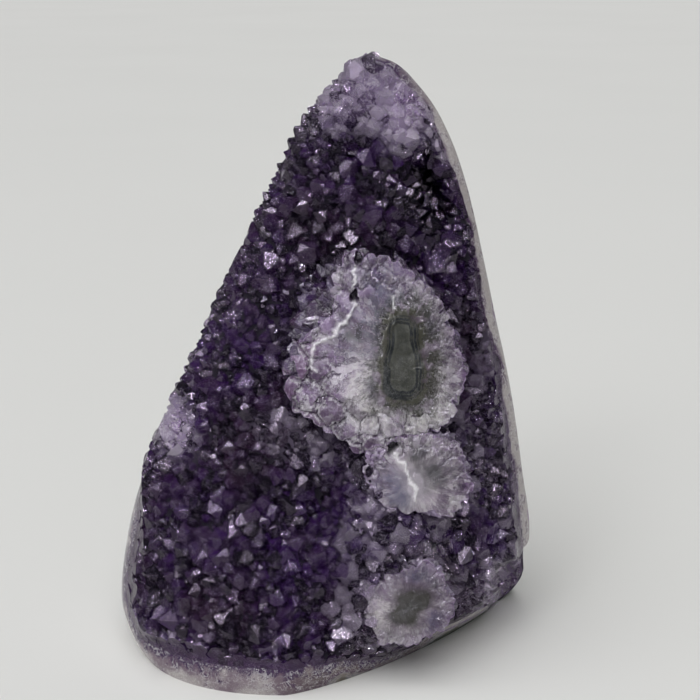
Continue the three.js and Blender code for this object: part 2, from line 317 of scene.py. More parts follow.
def paleness(x, z):
    """How pale the quartz is: most at the shoulder under the tip and in a patch at the left edge.
    It is raised as painted light on the broken chunk at the lower right, and it is less than 0
    in the dark pocket, where it lays painted shade."""
    right = section(z)[2]
    top = 0.68 * smooth(z, 137, 149)
    top = np.maximum(top, 0.6 * smooth(z, 118, 130) * smooth(x - right, -10, -4))
    top = np.maximum(top, 1.3 * spot(x, z, (20, 148), 7, 9))
    patch = 1.7 * spot(x, z, (-44, 65), 6, 5)
    # Painted light on the broken chunk at the lower right, which lies in shade under the overhang.
    chunk_painted_light = 1.5 * spot(x, z, (51, 13), 9, 13)
    low = smooth(75 - z, 0, 6)
    near = (0.12 + 0.16 * low) * smooth(1.16 + 0.3 * low - from_stalactites(x, z), 0, 0.3)
    near = np.maximum(near, 0.34 * spot(x, z, (12, 39), 10, 9))
    near = np.maximum(near, 0.15 * smooth(x - right, -18, -10) * smooth(105 - z, 0, 12))
    # Painted shade of the deep pocket: below 0, the druse there is laid deep violet.
    pocket = 1.9 * spot(x, z, (26.5, 125), 6.5, 8.5)
    bright = 3.6 * spot(x, z, (26.2, 123.8), 1.9, 1.9)
    return np.clip(np.maximum(top + patch + chunk_painted_light, near) - pocket + bright, -1, 1)


# ------------------------------------------------------------------ meshes


def link(name, data):
    """Put a mesh, a lamp or a camera in the scene as an object."""
    obj = bpy.data.objects.new(name, data)
    bpy.context.scene.collection.objects.link(obj)
    return obj


def evaluated(obj):
    """The mesh that an object's modifiers make. The object itself is taken away."""
    depsgraph = bpy.context.evaluated_depsgraph_get()
    mesh = bpy.data.meshes.new_from_object(obj.evaluated_get(depsgraph), depsgraph=depsgraph)
    bpy.data.objects.remove(obj)
    return mesh


def plain_mesh(name, corners, faces=()):
    """A mesh from corners in metres."""
    mesh = bpy.data.meshes.new(name)
    mesh.from_pydata(corners, [], faces)
    mesh.update()
    return mesh


def taken(bm, name):
    """A mesh from a bmesh, which is used up."""
    mesh = bpy.data.meshes.new(name)
    bm.to_mesh(mesh)
    bm.free()
    return mesh


def put(mesh, attribute, values, domain="POINT"):
    """Give a mesh an attribute, with a value for each point or face."""
    layer = mesh.attributes.new(attribute, "FLOAT", domain)
    layer.data.foreach_set("value", np.asarray(values, np.float32).ravel())


def get(mesh, attribute):
    """The values of a mesh's attribute."""
    layer = mesh.attributes[attribute]
    values = np.zeros(len(layer.data), np.float32)
    layer.data.foreach_get("value", values)
    return values


def grid_mesh(name, points, foot, tip):
    """A closed mesh from rings of points, with a fan of faces to a foot and one to a tip."""
    rings, turns = points.shape[:2]
    corners = np.concatenate((points.reshape(-1, 3), [foot, tip])) * MM
    low = np.arange((rings - 1) * turns).reshape(rings - 1, turns)
    beside = np.roll(low, -1, 1)
    faces = np.stack((low, low + turns, beside + turns, beside), -1).reshape(-1, 4).tolist()
    top = (rings - 1) * turns
    for step in range(turns):
        following = (step + 1) % turns
        faces.append((step, following, rings * turns))
        faces.append((top + following, top + step, rings * turns + 1))
    return plain_mesh(name, corners.tolist(), faces)


# Rings, and points in each ring, of the block and of the outline that the druse is ground to.
BLOCK_GRID, OUTLINE_GRID = (190, 300), (150, 220)


def block_rings(rings, turns):
    """Places in level rings on the block: turns, points and the heights of the front edge."""
    height = HEIGHT * (1 - (1 - np.linspace(0, 1, rings, endpoint=False)) ** 1.3)
    turn, z = np.meshgrid(np.linspace(0, 2 * math.pi, turns, endpoint=False), height)
    points, edge = block_point(turn, z)
    return turn, points, edge


def outward(points):
    """Outward directions of a grid of rings."""
    out = np.cross(np.gradient(points, axis=0), np.roll(points, -1, 1) - np.roll(points, 1, 1))
    return out / (np.linalg.norm(out, axis=-1, keepdims=True) + 1e-9)


def wall_thickness(x, z):
    """Thickness of the quartz behind the druse: most at the lower left."""
    return 4 + 9 * smooth(-x, -10, 20) * smooth(60 - z, 0, 40)


def block_mesh():
    """The block of geode wall, with the bed of the druse on its front."""
    turn, points, edge = block_rings(*BLOCK_GRID)
    inside = inside_druse(turn, points, edge)
    x, z = points[..., 0].copy(), points[..., 2].copy()
    bed = smooth(inside, 0, 7) * smooth(HEIGHT - z, 2, 12) * (np.sin(turn) > 0)
    points[..., 1] -= (land(x, z) + 1.3 * lumps(points, 13, 1) - moats(x, z)) * bed
    rough = smooth(-inside, 9, 16) * (np.sin(turn) < 0)
    coarse, fine = 0.8 * lumps(points, 15, 13, 3), 1.1 * lumps(points, 5, 3, 4)
    uneven = 0.3 * lumps(points, 22, 2, 2) + rough * (coarse + fine)
    points += outward(points) * (uneven * smooth(z, 1, 12))[..., None]
    points[..., 2] = np.maximum(points[..., 2], 0)
    mesh = grid_mesh("geode_wall", points, (0, 0, 0), TIP)
    grows = np.where(from_stalactites(x, z) < 0.8, np.minimum(inside, -1), inside)
    put(mesh, "grows", (*grows.ravel(), -20, -1))
    put(mesh, "layer", (*(-inside / wall_thickness(x, z)).ravel(), 4, 0.4))
    put(mesh, "pale", (*paleness(x, z).ravel(), 0, 1))
    return mesh


def outline_mesh():
    """What the quartz points are ground down to: level with the block all round the druse."""
    turn, points, edge = block_rings(*OUTLINE_GRID)
    inside = inside_druse(turn, points, edge)
    depth = np.clip(inside, 0, None)
    high = smooth(points[..., 2], 110, 135)
    lift = 0.12 + (0.14 + 0.3 * high) * depth + 0.07 * depth ** 2
    lift = np.minimum(lift, 12) - 0.6 * smooth(-inside, 0.3, 1.3)
    points = points + outward(points) * lift[..., None]
    foot = points[0, :, 2].min()
    mesh = grid_mesh("outline", points, (0, 0, foot), (*TIP[:2], points[..., 2].max() + 2))
    put(mesh, "tone", patch_tones(face_centres(mesh), 2.4), "FACE")
    put(mesh, "ground", [1] * len(mesh.polygons), "FACE")
    return mesh


def patch_tones(places, size):
    """A random tone for each place, the same all over patches of about the given size."""
    tones = []
    for place in places.tolist():
        nearest = noise.voronoi(Vector(place) / size)[1][0]
        tones.append(0.5 + 0.9 * noise.noise(nearest * 3.7))
    return np.clip(tones, 0, 1)


def shake(place):
    """A small random shift, which changes smoothly from place to place."""
    return Vector([noise.noise(place + Vector((0, 31.4 * axis, 7.9))) for axis in range(3)])


def break_mesh():
    """What is missing at the lower right, with rough faces."""
    bm = bmesh.new()
    bmesh.ops.create_cube(bm, size=1)
    bmesh.ops.subdivide_edges(bm, edges=bm.edges, cuts=24, use_grid_fill=True)
    below = 6  # how far it goes on under the foot
    size = Vector((BREAK["wide"], BREAK["deep"], BREAK["high"] + below))
    turn = Matrix.Rotation(math.radians(BREAK["turn"]), 3, "Z")
    for v in bm.verts:
        p = v.co + Vector((0.5, -0.5, 0.5))
        p = Vector((p.x * size.x, p.y * size.y, p.z * size.z - below))
        rough = shake(p / 7) * 2.2 + shake(p / 2.5) * 0.5
        v.co = (turn @ (p + rough) + Vector((BREAK["x"], BREAK["y"], 0))) * MM
    bmesh.ops.triangulate(bm, faces=bm.faces)
    mesh = taken(bm, "break")
    # Pale 0.8 on the break's faces is painted light: the bed there is laid pale lilac, not deep violet.
    for attribute, value in (("grows", 6), ("layer", -3), ("pale", 0.8)):
        put(mesh, attribute, [value] * len(mesh.vertices))
    return mesh


def cut(mesh, tool, operation="DIFFERENCE"):
    """A mesh with another taken from it, or cut to it."""
    made, cutter = link("made", mesh), link("cutter", tool)
    modifier = made.modifiers.new("Cut", "BOOLEAN")
    modifier.operation, modifier.solver, modifier.object = operation, "MANIFOLD", cutter
    result = evaluated(made)
    bpy.data.objects.remove(cutter)
    return result


def part_of(mesh, keep):
    """A copy of a mesh with only the faces for which keep, an array, is true."""
    bm = bmesh.new()
    bm.from_mesh(mesh)
    bm.faces.ensure_lookup_table()
    bmesh.ops.delete(bm, geom=[bm.faces[i] for i in np.nonzero(~keep)[0]], context="FACES")
    return taken(bm, mesh.name + "_part")


def face_means(mesh, attribute):
    """A vertex attribute's mean over each face."""
    corners = np.zeros(len(mesh.loops), np.int32)
    mesh.loops.foreach_get("vertex_index", corners)
    starts = np.zeros(len(mesh.polygons), np.int32)
    mesh.polygons.foreach_get("loop_start", starts)
    counts = np.diff((*starts, len(corners)))
    return np.add.reduceat(get(mesh, attribute)[corners], starts) / counts


def face_centres(mesh):
    """The middle of each face, in millimetres."""
    centres = np.zeros(len(mesh.polygons) * 3, np.float32)
    mesh.polygons.foreach_get("center", centres)
    return centres.reshape(-1, 3) / MM


def polish(mesh, angle):
    """Smooth shading, except across edges sharper than an angle in degrees."""
    mesh.polygons.foreach_set("use_smooth", [True] * len(mesh.polygons))
    mesh.set_sharp_from_angle(angle=math.radians(angle))


GROUND_STEP = 0.36  # how far apart the places on a ground surface are
SLAB_BACK = 60  # y of the back of what grinding leaves
GROUND_MARGIN = 6  # how far a ground surface goes on past the crystals' reach
WHITE_RIDGE_HIGHLIGHT_WIDTH = 0.42  # distance from a white ridge's middle at which it and its painted highlight have mostly faded
LOBE_ROWS = (0.62, 0.8, 0.98)  # where rows of lobes lie, as shares of the crystals' reach
FAR = 1e3  # farther than any place on the cluster
KINDS = 24  # how many different quartz points each set holds
CRYSTAL_SLOPE = math.radians(38.2)  # between a quartz point's end faces and its axis


def lobe_seeds(form):
    """Middles of the lobes that show where a stalactite is ground, with a random tone for each."""
    chance = random.Random(form["seed"] + 50)
    seeds = []
    for share in LOBE_ROWS:
        angle = chance.uniform(0, 1)
        while angle < 2 * math.pi:
            reach = float(around(form["reach"], angle)) * share * chance.uniform(0.9, 1.08)
            seeds.append((reach * math.cos(angle), reach * math.sin(angle), chance.random()))
            angle += 0.95 * float(around(form["width"], angle)) * chance.uniform(0.6, 1.4) / reach
    return np.array(seeds)


def from_core(form, dx, dz):
    """Distance from the outline of a stalactite's core, less than 0 inside it."""
    half, foot, top, lean = form["core"]
    share = np.clip((dz + half) / (2 * half), 0, 1)
    aside = np.abs(dx - (share - 0.5) * 2 * lean)
    along = np.abs(dz - (share - 0.5) * 2 * half)
    return (aside ** 2.5 + along ** 2.5) ** 0.4 - foot - (top - foot) * smooth(share, 0.35, 0.85)


def from_line(line, x, z):
    """Distance from a line through places."""
    nearest = np.full(x.shape, FAR)
    for (ax, az), (bx, bz) in zip(line, line[1:]):
        along = ((x - ax) * (bx - ax) + (z - az) * (bz - az)) / ((bx - ax) ** 2 + (bz - az) ** 2)
        along = np.clip(along, 0, 1)
        nearest = np.minimum(nearest, np.hypot(x - ax - along * (bx - ax), z - az - along * (bz - az)))
    return nearest


def patches(places, dx, dz, jitter):
    """1 in the middle of patches, falling to 0 about them."""
    amount = np.zeros(dx.shape)
    for x, z, radius in places:
        amount += np.exp(-((np.hypot(dx - x, dz - z) + jitter) / radius) ** 2)
    return np.clip(amount, 0, 1)


def lobe_map(form, dx, dz, wavy):
    """At places by the core: the distance of the nearest lobe's middle, how much farther the next
    one's is, and the nearest lobe's tone."""
    nearest, second, tone = np.full(dx.shape, FAR), np.full(dx.shape, FAR), np.zeros(dx.shape)
    for seed_x, seed_z, seed_tone in lobe_seeds(form):
        away = np.hypot(dx - seed_x + wavy, dz - seed_z - wavy)
        second = np.minimum(second, np.maximum(nearest, away))
        tone = np.where(away < nearest, seed_tone, tone)
        nearest = np.minimum(nearest, away)
    return nearest, second - nearest, tone


def pit_map(form, dx, dz, jitter):
    """1 in the pits of a ground surface, falling to 0 at their uneven edges."""
    pit = np.zeros(dx.shape)
    for x, z, radius in form["pits"]:
        away = np.hypot((dx - x) * 1.3, dz - z) / (radius * np.clip(1 + 0.9 * jitter, 0.2, 2))
        pit = np.maximum(pit, 1 - smooth(away, 0.75, 1.1))
    return pit


def white_ridge_highlight_map(form, dx, dz, jitter, kinks):
    """1 along the white ridges of a ground surface, falling to 0 beside them. Their white is partly a
    painted highlight.
    """
    white_ridge_highlight = np.zeros(dx.shape)
    for course in form["white_ridge_highlights"]:
        off = from_line(course, dx + 0.9 * jitter + kinks, dz + 0.7 * jitter - kinks)
        white_ridge_highlight = np.maximum(white_ridge_highlight, np.exp(-(off / WHITE_RIDGE_HIGHLIGHT_WIDTH) ** 2))
    return white_ridge_highlight


def lobe_values(form, angle, lobed, gap, tone):
    """What shows of the lobes: the pale seams between them, the painted shade of the grooves between them,
    and their tones.
    """
    rosy = around(form["rosy"], angle)
    return {
        "seam": lobed * np.exp(-(((gap - 0.9) / 0.5) ** 2)) * (0.3 + 0.7 * rosy),
        # Painted shade in the grooves between the lobes.
        "crevice_shade": lobed * np.exp(-((gap / 0.32) ** 2)),
        "lobe": lobed * tone * rosy,
        "shade": 0.42 + (((tone * 7.3) % 1) - 0.42) * lobed,
    }


def slab_mesh(name, front):
    """A closed mesh from a square grid of points to a flat back, far behind it."""
    steps = len(front)
    back = front.copy()
    back[..., 1] = SLAB_BACK
    corners = np.concatenate((front.reshape(-1, 3), back.reshape(-1, 3))) * MM
    at = np.arange(steps * steps).reshape(steps, steps)
    quads = np.stack((at[:-1, :-1], at[:-1, 1:], at[1:, 1:], at[1:, :-1]), -1).reshape(-1, 4)
    faces = quads.tolist() + (quads[:, ::-1] + steps * steps).tolist()
    border = [*at[0, :-1], *at[:-1, -1], *at[-1, :0:-1], *at[:0:-1, 0]]
    for a, b in zip(border, border[1:] + border[:1]):
        faces.append((a, a + steps * steps, b + steps * steps, b))
    return plain_mesh(name, corners.tolist(), faces)


def grinding_mesh(form, sunk=0.0, proud=0.0):
    """All that grinding leaves of a stalactite: the space behind its ground surface. Lobes stand
    between grooves on it, away from the core. The eye, which is the core and the dark quartz round
    it, can stand proud of the rest, which can be sunk."""
    reach = max(form["reach"]) + GROUND_MARGIN
    line = np.linspace(-reach, reach, int(reach * 2 / GROUND_STEP))
    dx, dz = np.meshgrid(line, line)
    angle, out = np.arctan2(dz, dx), np.hypot(dx, dz)
    share = out / around(form["reach"], angle)
    x, z = form["x"] + dx, form["z"] + dz
    front = np.stack((x, ground_y(x, z), z), -1)
    jitter = 0.9 * lumps(front, 2.2, 7, 3)
    nearest, gap, tone = lobe_map(form, dx, dz, 1.3 * jitter)
    lobed = smooth(share, 0.5, 0.68) * (0.15 + 0.85 * smooth(around(form["width"], angle), 3.4, 6))
    relief = lobed * (0.7 * (1 - smooth(gap, 0, 1.3)) + 0.03 * nearest ** 2)
    pit = pit_map(form, dx, dz, jitter)
    frayed = 1.2 * jitter + 1.5 * lumps(front, 1.1, 9, 2)
    eye = 1 - smooth(from_core(form, dx, dz) + frayed, form["eye"] - 0.4, form["eye"])
    white_ridge_highlight = white_ridge_highlight_map(form, dx, dz, jitter, 0.4 * lumps(front, 1.4, 10, 2))
    relief -= 0.25 * white_ridge_highlight
    front[..., 1] += relief + 3.0 * pit + 0.2 * lumps(front, 14, 6, 2) + 0.05 * jitter
    front[..., 1] += sunk - (sunk + proud) * eye
    mesh = slab_mesh("grinding", front)
    put(mesh, "ground", [1] * len(mesh.polygons), "FACE")
    values = lobe_values(form, angle, lobed, gap, tone)
    values |= {
        "milky": around(form["milky"], angle),
        "clear": patches(form["clear"], dx, dz, jitter),
        "murky": patches(form["murky"], dx, dz, 1.5 * jitter),
        "white_ridge_highlight": white_ridge_highlight,
        "pit": pit,
    }
    for attribute, value in values.items():
        put(mesh, attribute, np.concatenate((value.ravel(), value.ravel())))
    return mesh


def crystal_mesh(name, chance, root, tone):
    """One quartz point a unit wide: a six-sided prism under six uneven rhombohedral faces."""
    rise, run = math.sin(CRYSTAL_SLOPE), math.cos(CRYSTAL_SLOPE)
    height = 0.5 / math.tan(CRYSTAL_SLOPE)
    planes = [(Vector((0, 0, -1)), root)]
    for k in range(6):
        angle = k * math.pi / 3
        out = Vector((math.cos(angle), math.sin(angle), 0))
        planes.append((out, 0.5 * chance.uniform(0.86, 1.06)))
        face = out * run + Vector((0, 0, rise))
        share = 1.0 + (0.12 if k % 2 else 0.0) - chance.uniform(0.0, 0.26)
        planes.append((face, height * rise * share))
    bm = bmesh.new()
    for corner in plane_corners(planes):
        bm.verts.new(corner)
    bmesh.ops.remove_doubles(bm, verts=bm.verts, dist=1e-4)
    hull = bmesh.ops.convex_hull(bm, input=bm.verts)
    bmesh.ops.delete(bm, geom=hull["geom_interior"], context="VERTS")
    bmesh.ops.dissolve_limit(bm, angle_limit=0.01, verts=bm.verts, edges=bm.edges)
    mesh = taken(bm, name)
    put(mesh, "tone", [tone + chance.uniform(-0.16, 0.16) for _ in mesh.polygons], "FACE")
    return mesh


def plane_corners(planes):
    """Corners of the space behind all of some planes, each a direction and a distance."""
    corners = []
    for i in range(len(planes)):
        for j in range(i):
            for k in range(j):
                normals = Matrix((planes[i][0], planes[j][0], planes[k][0]))
                if abs(normals.determinant()) < 1e-4:
                    continue
                p = normals.inverted() @ Vector((planes[i][1], planes[j][1], planes[k][1]))
                if all(p.dot(n) <= d + 1e-5 for n, d in planes):
                    corners.append(p)
    return corners


def crystal_set(name, root, seed):
    """A collection of different quartz points, with roots of a length, kept out of the scene."""
    chance = random.Random(seed)
    kinds = bpy.data.collections.new(name)
    for i in range(KINDS):
        mesh = crystal_mesh(f"{name}_{i}", chance, root, chance.random())
        kinds.objects.link(bpy.data.objects.new(f"{name}_{i}", mesh))
    return kinds


def discard(kinds):
    """Take away a set of quartz points, once it has been used."""
    for obj in list(kinds.objects):
        mesh = obj.data
        bpy.data.objects.remove(obj)
        bpy.data.meshes.remove(mesh)
    bpy.data.collections.remove(kinds)


# ------------------------------------------------------------------ node trees


class Tree:
    """A short way to write a node tree."""

    def __init__(self, tree):
        self.tree = tree

    def add(self, kind, inputs=(), **settings):
        """A node with some of its inputs set, or linked from other nodes' outputs."""
        node = self.tree.nodes.new(kind)
        for key, value in settings.items():
            setattr(node, key, value)
        for socket, value in dict(inputs).items():
            self.feed(node.inputs[socket], value)
        return node

    def feed(self, socket, value):
        """Link an output to an input socket, or set the socket to a plain value."""
        if isinstance(value, bpy.types.NodeSocket):
            self.tree.links.new(value, socket)
        else:
            socket.default_value = value

    def math(self, operation, *values, **settings):
        """The result of an operation on numbers."""
        node = self.add("ShaderNodeMath", dict(enumerate(values)), operation=operation, **settings)
        return node.outputs[0]

    def times(self, *values):
        """The product of numbers."""
        return reduce(lambda first, second: self.math("MULTIPLY", first, second), values)

    def plus(self, *values):
        """The sum of numbers."""
        return reduce(lambda first, second: self.math("ADD", first, second), values)

    def minus(self, first, second):
        """One number less another."""
        return self.math("SUBTRACT", first, second)

    def vector(self, operation, *values):
        """The result of an operation on vectors."""
        node = self.add("ShaderNodeVectorMath", dict(enumerate(values)), operation=operation)
        return node.outputs["Value" if operation in ("LENGTH", "DOT_PRODUCT") else "Vector"]

    def combined(self, x=0.0, y=0.0, z=0.0):
        """A vector from its parts."""
        return self.add("ShaderNodeCombineXYZ", {"X": x, "Y": y, "Z": z}).outputs[0]

    def parts(self, vector):
        """The three parts of a vector."""
        return self.add("ShaderNodeSeparateXYZ", {0: vector}).outputs


class GeometryTree(Tree):
    """A geometry node tree with named inputs."""

    def __init__(self, name, asked):
        super().__init__(bpy.data.node_groups.new(name, "GeometryNodeTree"))
        self.tree.is_modifier = True
        face = self.tree.interface
        face.new_socket("Geometry", in_out="OUTPUT", socket_type="NodeSocketGeometry")
        kinds = {"Geometry": "Geometry", **asked}
        self.ids = {}
        for label, kind in kinds.items():
            socket = face.new_socket(label, in_out="INPUT", socket_type="NodeSocket" + kind)
            self.ids[label] = socket.identifier
        self.given = self.tree.nodes.new("NodeGroupInput").outputs

    def chance(self, low, high, salt, kind="FLOAT"):
        """A random value for each point, from the tree's seed."""
        seed = self.add("FunctionNodeIntegerMath", {0: self.given["Seed"], 1: salt}, operation="ADD")
        sockets = {"FLOAT": (2, 3, 1), "FLOAT_VECTOR": (0, 1, 0), "INT": (4, 5, 2)}
        least, most, result = sockets[kind]
        inputs = {least: low, most: high, "Seed": seed.outputs[0]}
        return self.add("FunctionNodeRandomValue", inputs, data_type=kind).outputs[result]

    def named(self, name, kind="FLOAT"):
        """The values of a named attribute."""
        node = self.add("GeometryNodeInputNamedAttribute", {"Name": name}, data_type=kind)
        return node.outputs[0]

    def turned(self, rotation, angles):
        """A rotation turned further, about its own axes."""
        turn = self.add("FunctionNodeEulerToRotation", {0: angles}).outputs[0]
        inputs = {"Rotation": rotation, "Rotate By": turn}
        return self.add("FunctionNodeRotateRotation", inputs, rotation_space="LOCAL").outputs[0]

    def crystals(self, places, salt, rotation, size):
        """Quartz points at places, each of a random kind."""
        inputs = {"Collection": self.given["Points"], "Separate Children": True, "Reset Children": True}
        kinds = self.add("GeometryNodeCollectionInfo", inputs).outputs[0]
        inputs = {"Points": places, "Instance": kinds, "Pick Instance": True}
        inputs |= {"Instance Index": self.chance(0, self.given["Kinds"], salt, "INT")}
        inputs |= {"Rotation": rotation, "Scale": size}
        return self.add("GeometryNodeInstanceOnPoints", inputs).outputs[0]

    def join(self, operation, *geometries):
        """Closed meshes joined into one, or cut to what they share."""
        node = self.add("GeometryNodeMeshBoolean", operation=operation, solver="MANIFOLD")
        for geometry in geometries:
            self.tree.links.new(geometry, node.inputs["Mesh 2"])
        return node.outputs["Mesh"]

    def other(self, label):
        """The mesh of an object given as an input."""
        return self.add("GeometryNodeObjectInfo", {"Object": self.given[label]}).outputs["Geometry"]

    def finish(self, geometry):
        """The tree's end."""
        real = self.add("GeometryNodeRealizeInstances", {"Geometry": geometry}).outputs[0]
        inputs = {"Geometry": real, "Material": self.given["Finish"]}
        done = self.add("GeometryNodeSetMaterial", inputs).outputs[0]
        out = self.tree.nodes.new("NodeGroupOutput")
        self.tree.links.new(done, out.inputs[0])


def grow_layer(t, spacing, width, salt):
    """Quartz points of one size, standing over the bed."""
    inputs = {"Mesh": t.given["Geometry"], "Distance Min": spacing, "Density Max": 1e6, "Seed": salt}
    places = t.add("GeometryNodeDistributePointsOnFaces", inputs, distribute_method="POISSON").outputs
    most = t.combined(t.given["Lean"], t.given["Lean"], math.pi)
    lean = t.chance(t.vector("MULTIPLY", most, (-1, -1, -1)), most, salt + 1, "FLOAT_VECTOR")
    share = t.chance(t.given["Smallest"], 1.0, salt + 2)
    size = t.times(width, share, t.named("coarse"))
    points = t.crystals(places["Points"], salt + 3, t.turned(places["Rotation"], lean), size)
    rise = t.chance(t.times(t.given["Rise"], -0.35), t.given["Rise"], salt + 4)
    inputs = {"Instances": points, "Translation": t.combined(z=rise), "Local Space": True}
    return t.add("GeometryNodeTranslateInstances", inputs).outputs[0]


def druse_tree():
    """Quartz points scattered over a bed, grown together and ground level with an outline."""
    lengths = ("Spacing", "Width", "Fine Spacing", "Fine Width", "Rise")
    asked = {name: "Float" for name in (*lengths, "Smallest", "Lean")}
    asked |= {"Points": "Collection", "Outline": "Object", "Finish": "Material"}
    asked |= {"Kinds": "Int", "Seed": "Int"}
    t = GeometryTree("Druse", asked)
    large = grow_layer(t, t.given["Spacing"], t.given["Width"], 10)
    fine = grow_layer(t, t.given["Fine Spacing"], t.given["Fine Width"], 20)
    grown = t.join("UNION", large, fine)
    t.finish(t.join("INTERSECT", grown, t.other("Outline")))
    return t


def radiating_tree():
    """Quartz points that radiate from a core, grown together and ground across."""
    asked = {"Points": "Collection", "Heart": "Object", "Grinding": "Object", "Finish": "Material"}
    asked |= {"Kinds": "Int", "Seed": "Int"}
    t = GeometryTree("Radiating", asked)
    inputs = {"Vector": t.named("aim", "FLOAT_VECTOR")}
    aimed = t.add("FunctionNodeAlignRotationToVector", inputs, axis="Z").outputs[0]
    rotation = t.turned(aimed, t.combined(z=t.chance(0, 2 * math.pi, 1)))
    points = t.crystals(t.given["Geometry"], 2, rotation, t.named("wide"))
    grown = t.join("UNION", points, t.other("Heart"))
    t.finish(t.join("INTERSECT", grown, t.other("Grinding")))
    return t


def grown(base, t, inputs, name):
    """What a tree makes from a base mesh, as a plain mesh object."""
    maker = link("base", base)
    modifier = maker.modifiers.new("Grow", "NODES")
    modifier.node_group = t.tree
    for label, value in inputs.items():
        modifier[t.ids[label]] = value
    made = evaluated(maker)
    made.name = name
    if not made.polygons:
        raise RuntimeError(f"{name} came out empty")
    return link(name, made)


# ------------------------------------------------------------------ finishes

DIM = 0.2  # how strongly the quartz mirrors its surroundings
QUARTZ_IOR = 1.54

# Colours that only accent a finish. Some are painted light: the seam white is partly a painted highlight,
# and the darks of crevices, grey patches, shard gaps and gas holes are painted shade.
VEIL, BRIGHT_VEIL = (0.42, 0.33, 0.52), (1, 0.97, 1)  # inside dark quartz and inside pale quartz
FROST, NATURAL_FROST = (0.93, 0.91, 0.95), (0.8, 0.78, 0.84)  # specks in ground and unground quartz
SHARD_GAP_SHADE, BRIGHT_LOBE = (0.045, 0.026, 0.062), (0.5, 0.36, 0.62)
SEAM_WHITE_AND_HIGHLIGHT, CREVICE_SHADE, MURKY_SHADE = (0.95, 0.93, 0.97), (0.03, 0.018, 0.045), (0.03, 0.03, 0.04)
AGATE, CLEAR_RIM, LOW_RIM = (0.25, 0.26, 0.30), (0.16, 0.105, 0.155), (0.075, 0.04, 0.05)
STAIN, RIM_FROST = (0.045, 0.02, 0.075), (0.78, 0.76, 0.77)
RUST, MOSS, GRIT = (0.19, 0.14, 0.095), (0.11, 0.145, 0.095), (0.26, 0.245, 0.21)
HOLE_SHADE, PALE_BED = (0.03, 0.031, 0.027), (0.28, 0.22, 0.34)


class ShaderTree(Tree):
    """A shader node tree, with the textures and ranges that finishes are made of."""

    def noise(self, place, scale, detail=3.0, roughness=0.55, output=0):
        """Cloudy noise, with scale lumps for each millimetre."""
        inputs = {"Vector": place, "Scale": scale, "Detail": detail, "Roughness": roughness}
        return self.add("ShaderNodeTexNoise", inputs).outputs[output]

    def cells(self, place, scale, output=0):
        """Distance from the middle of the nearest of scattered cells, or that cell's colour."""
        return self.add("ShaderNodeTexVoronoi", {"Vector": place, "Scale": scale}).outputs[output]

    def reach(self, value, low, high, start=0.0, end=1.0, shape="SMOOTHSTEP"):
        """A value spread smoothly from one range to another."""
        inputs = {0: value, 1: low, 2: high, 3: start, 4: end}
        return self.add("ShaderNodeMapRange", inputs, interpolation_type=shape).outputs[0]

    def rise(self, value, low, high, start=0.0, end=1.0):
        """A value spread in a straight line from one range to another."""
        return self.reach(value, low, high, start, end, "LINEAR")

    def larger(self, first, second):
        """The larger of two numbers."""
        return self.math("MAXIMUM", first, second)

    def rest(self, *shares):
        """What the product of some shares leaves of 1."""
        return self.minus(1.0, self.times(*shares))


class Effect(ShaderTree):
    """A shader node group that more than one finish uses."""

    def __init__(self, name, asked, results):
        super().__init__(bpy.data.node_groups.new(name, "ShaderNodeTree"))
        for label, value in asked.items():
            kind = "Vector" if isinstance(value, tuple) else "Float"
            socket = self.tree.interface.new_socket(label, in_out="INPUT", socket_type="NodeSocket" + kind)
            socket.default_value = value
        for label in results:
            self.tree.interface.new_socket(label, in_out="OUTPUT", socket_type="NodeSocketFloat")
        self.given = self.tree.nodes.new("NodeGroupInput").outputs
        self.results = self.tree.nodes.new("NodeGroupOutput").inputs

    def give(self, **results):
        """Link the group's results."""
        for label, value in results.items():
            self.feed(self.results[label], value)


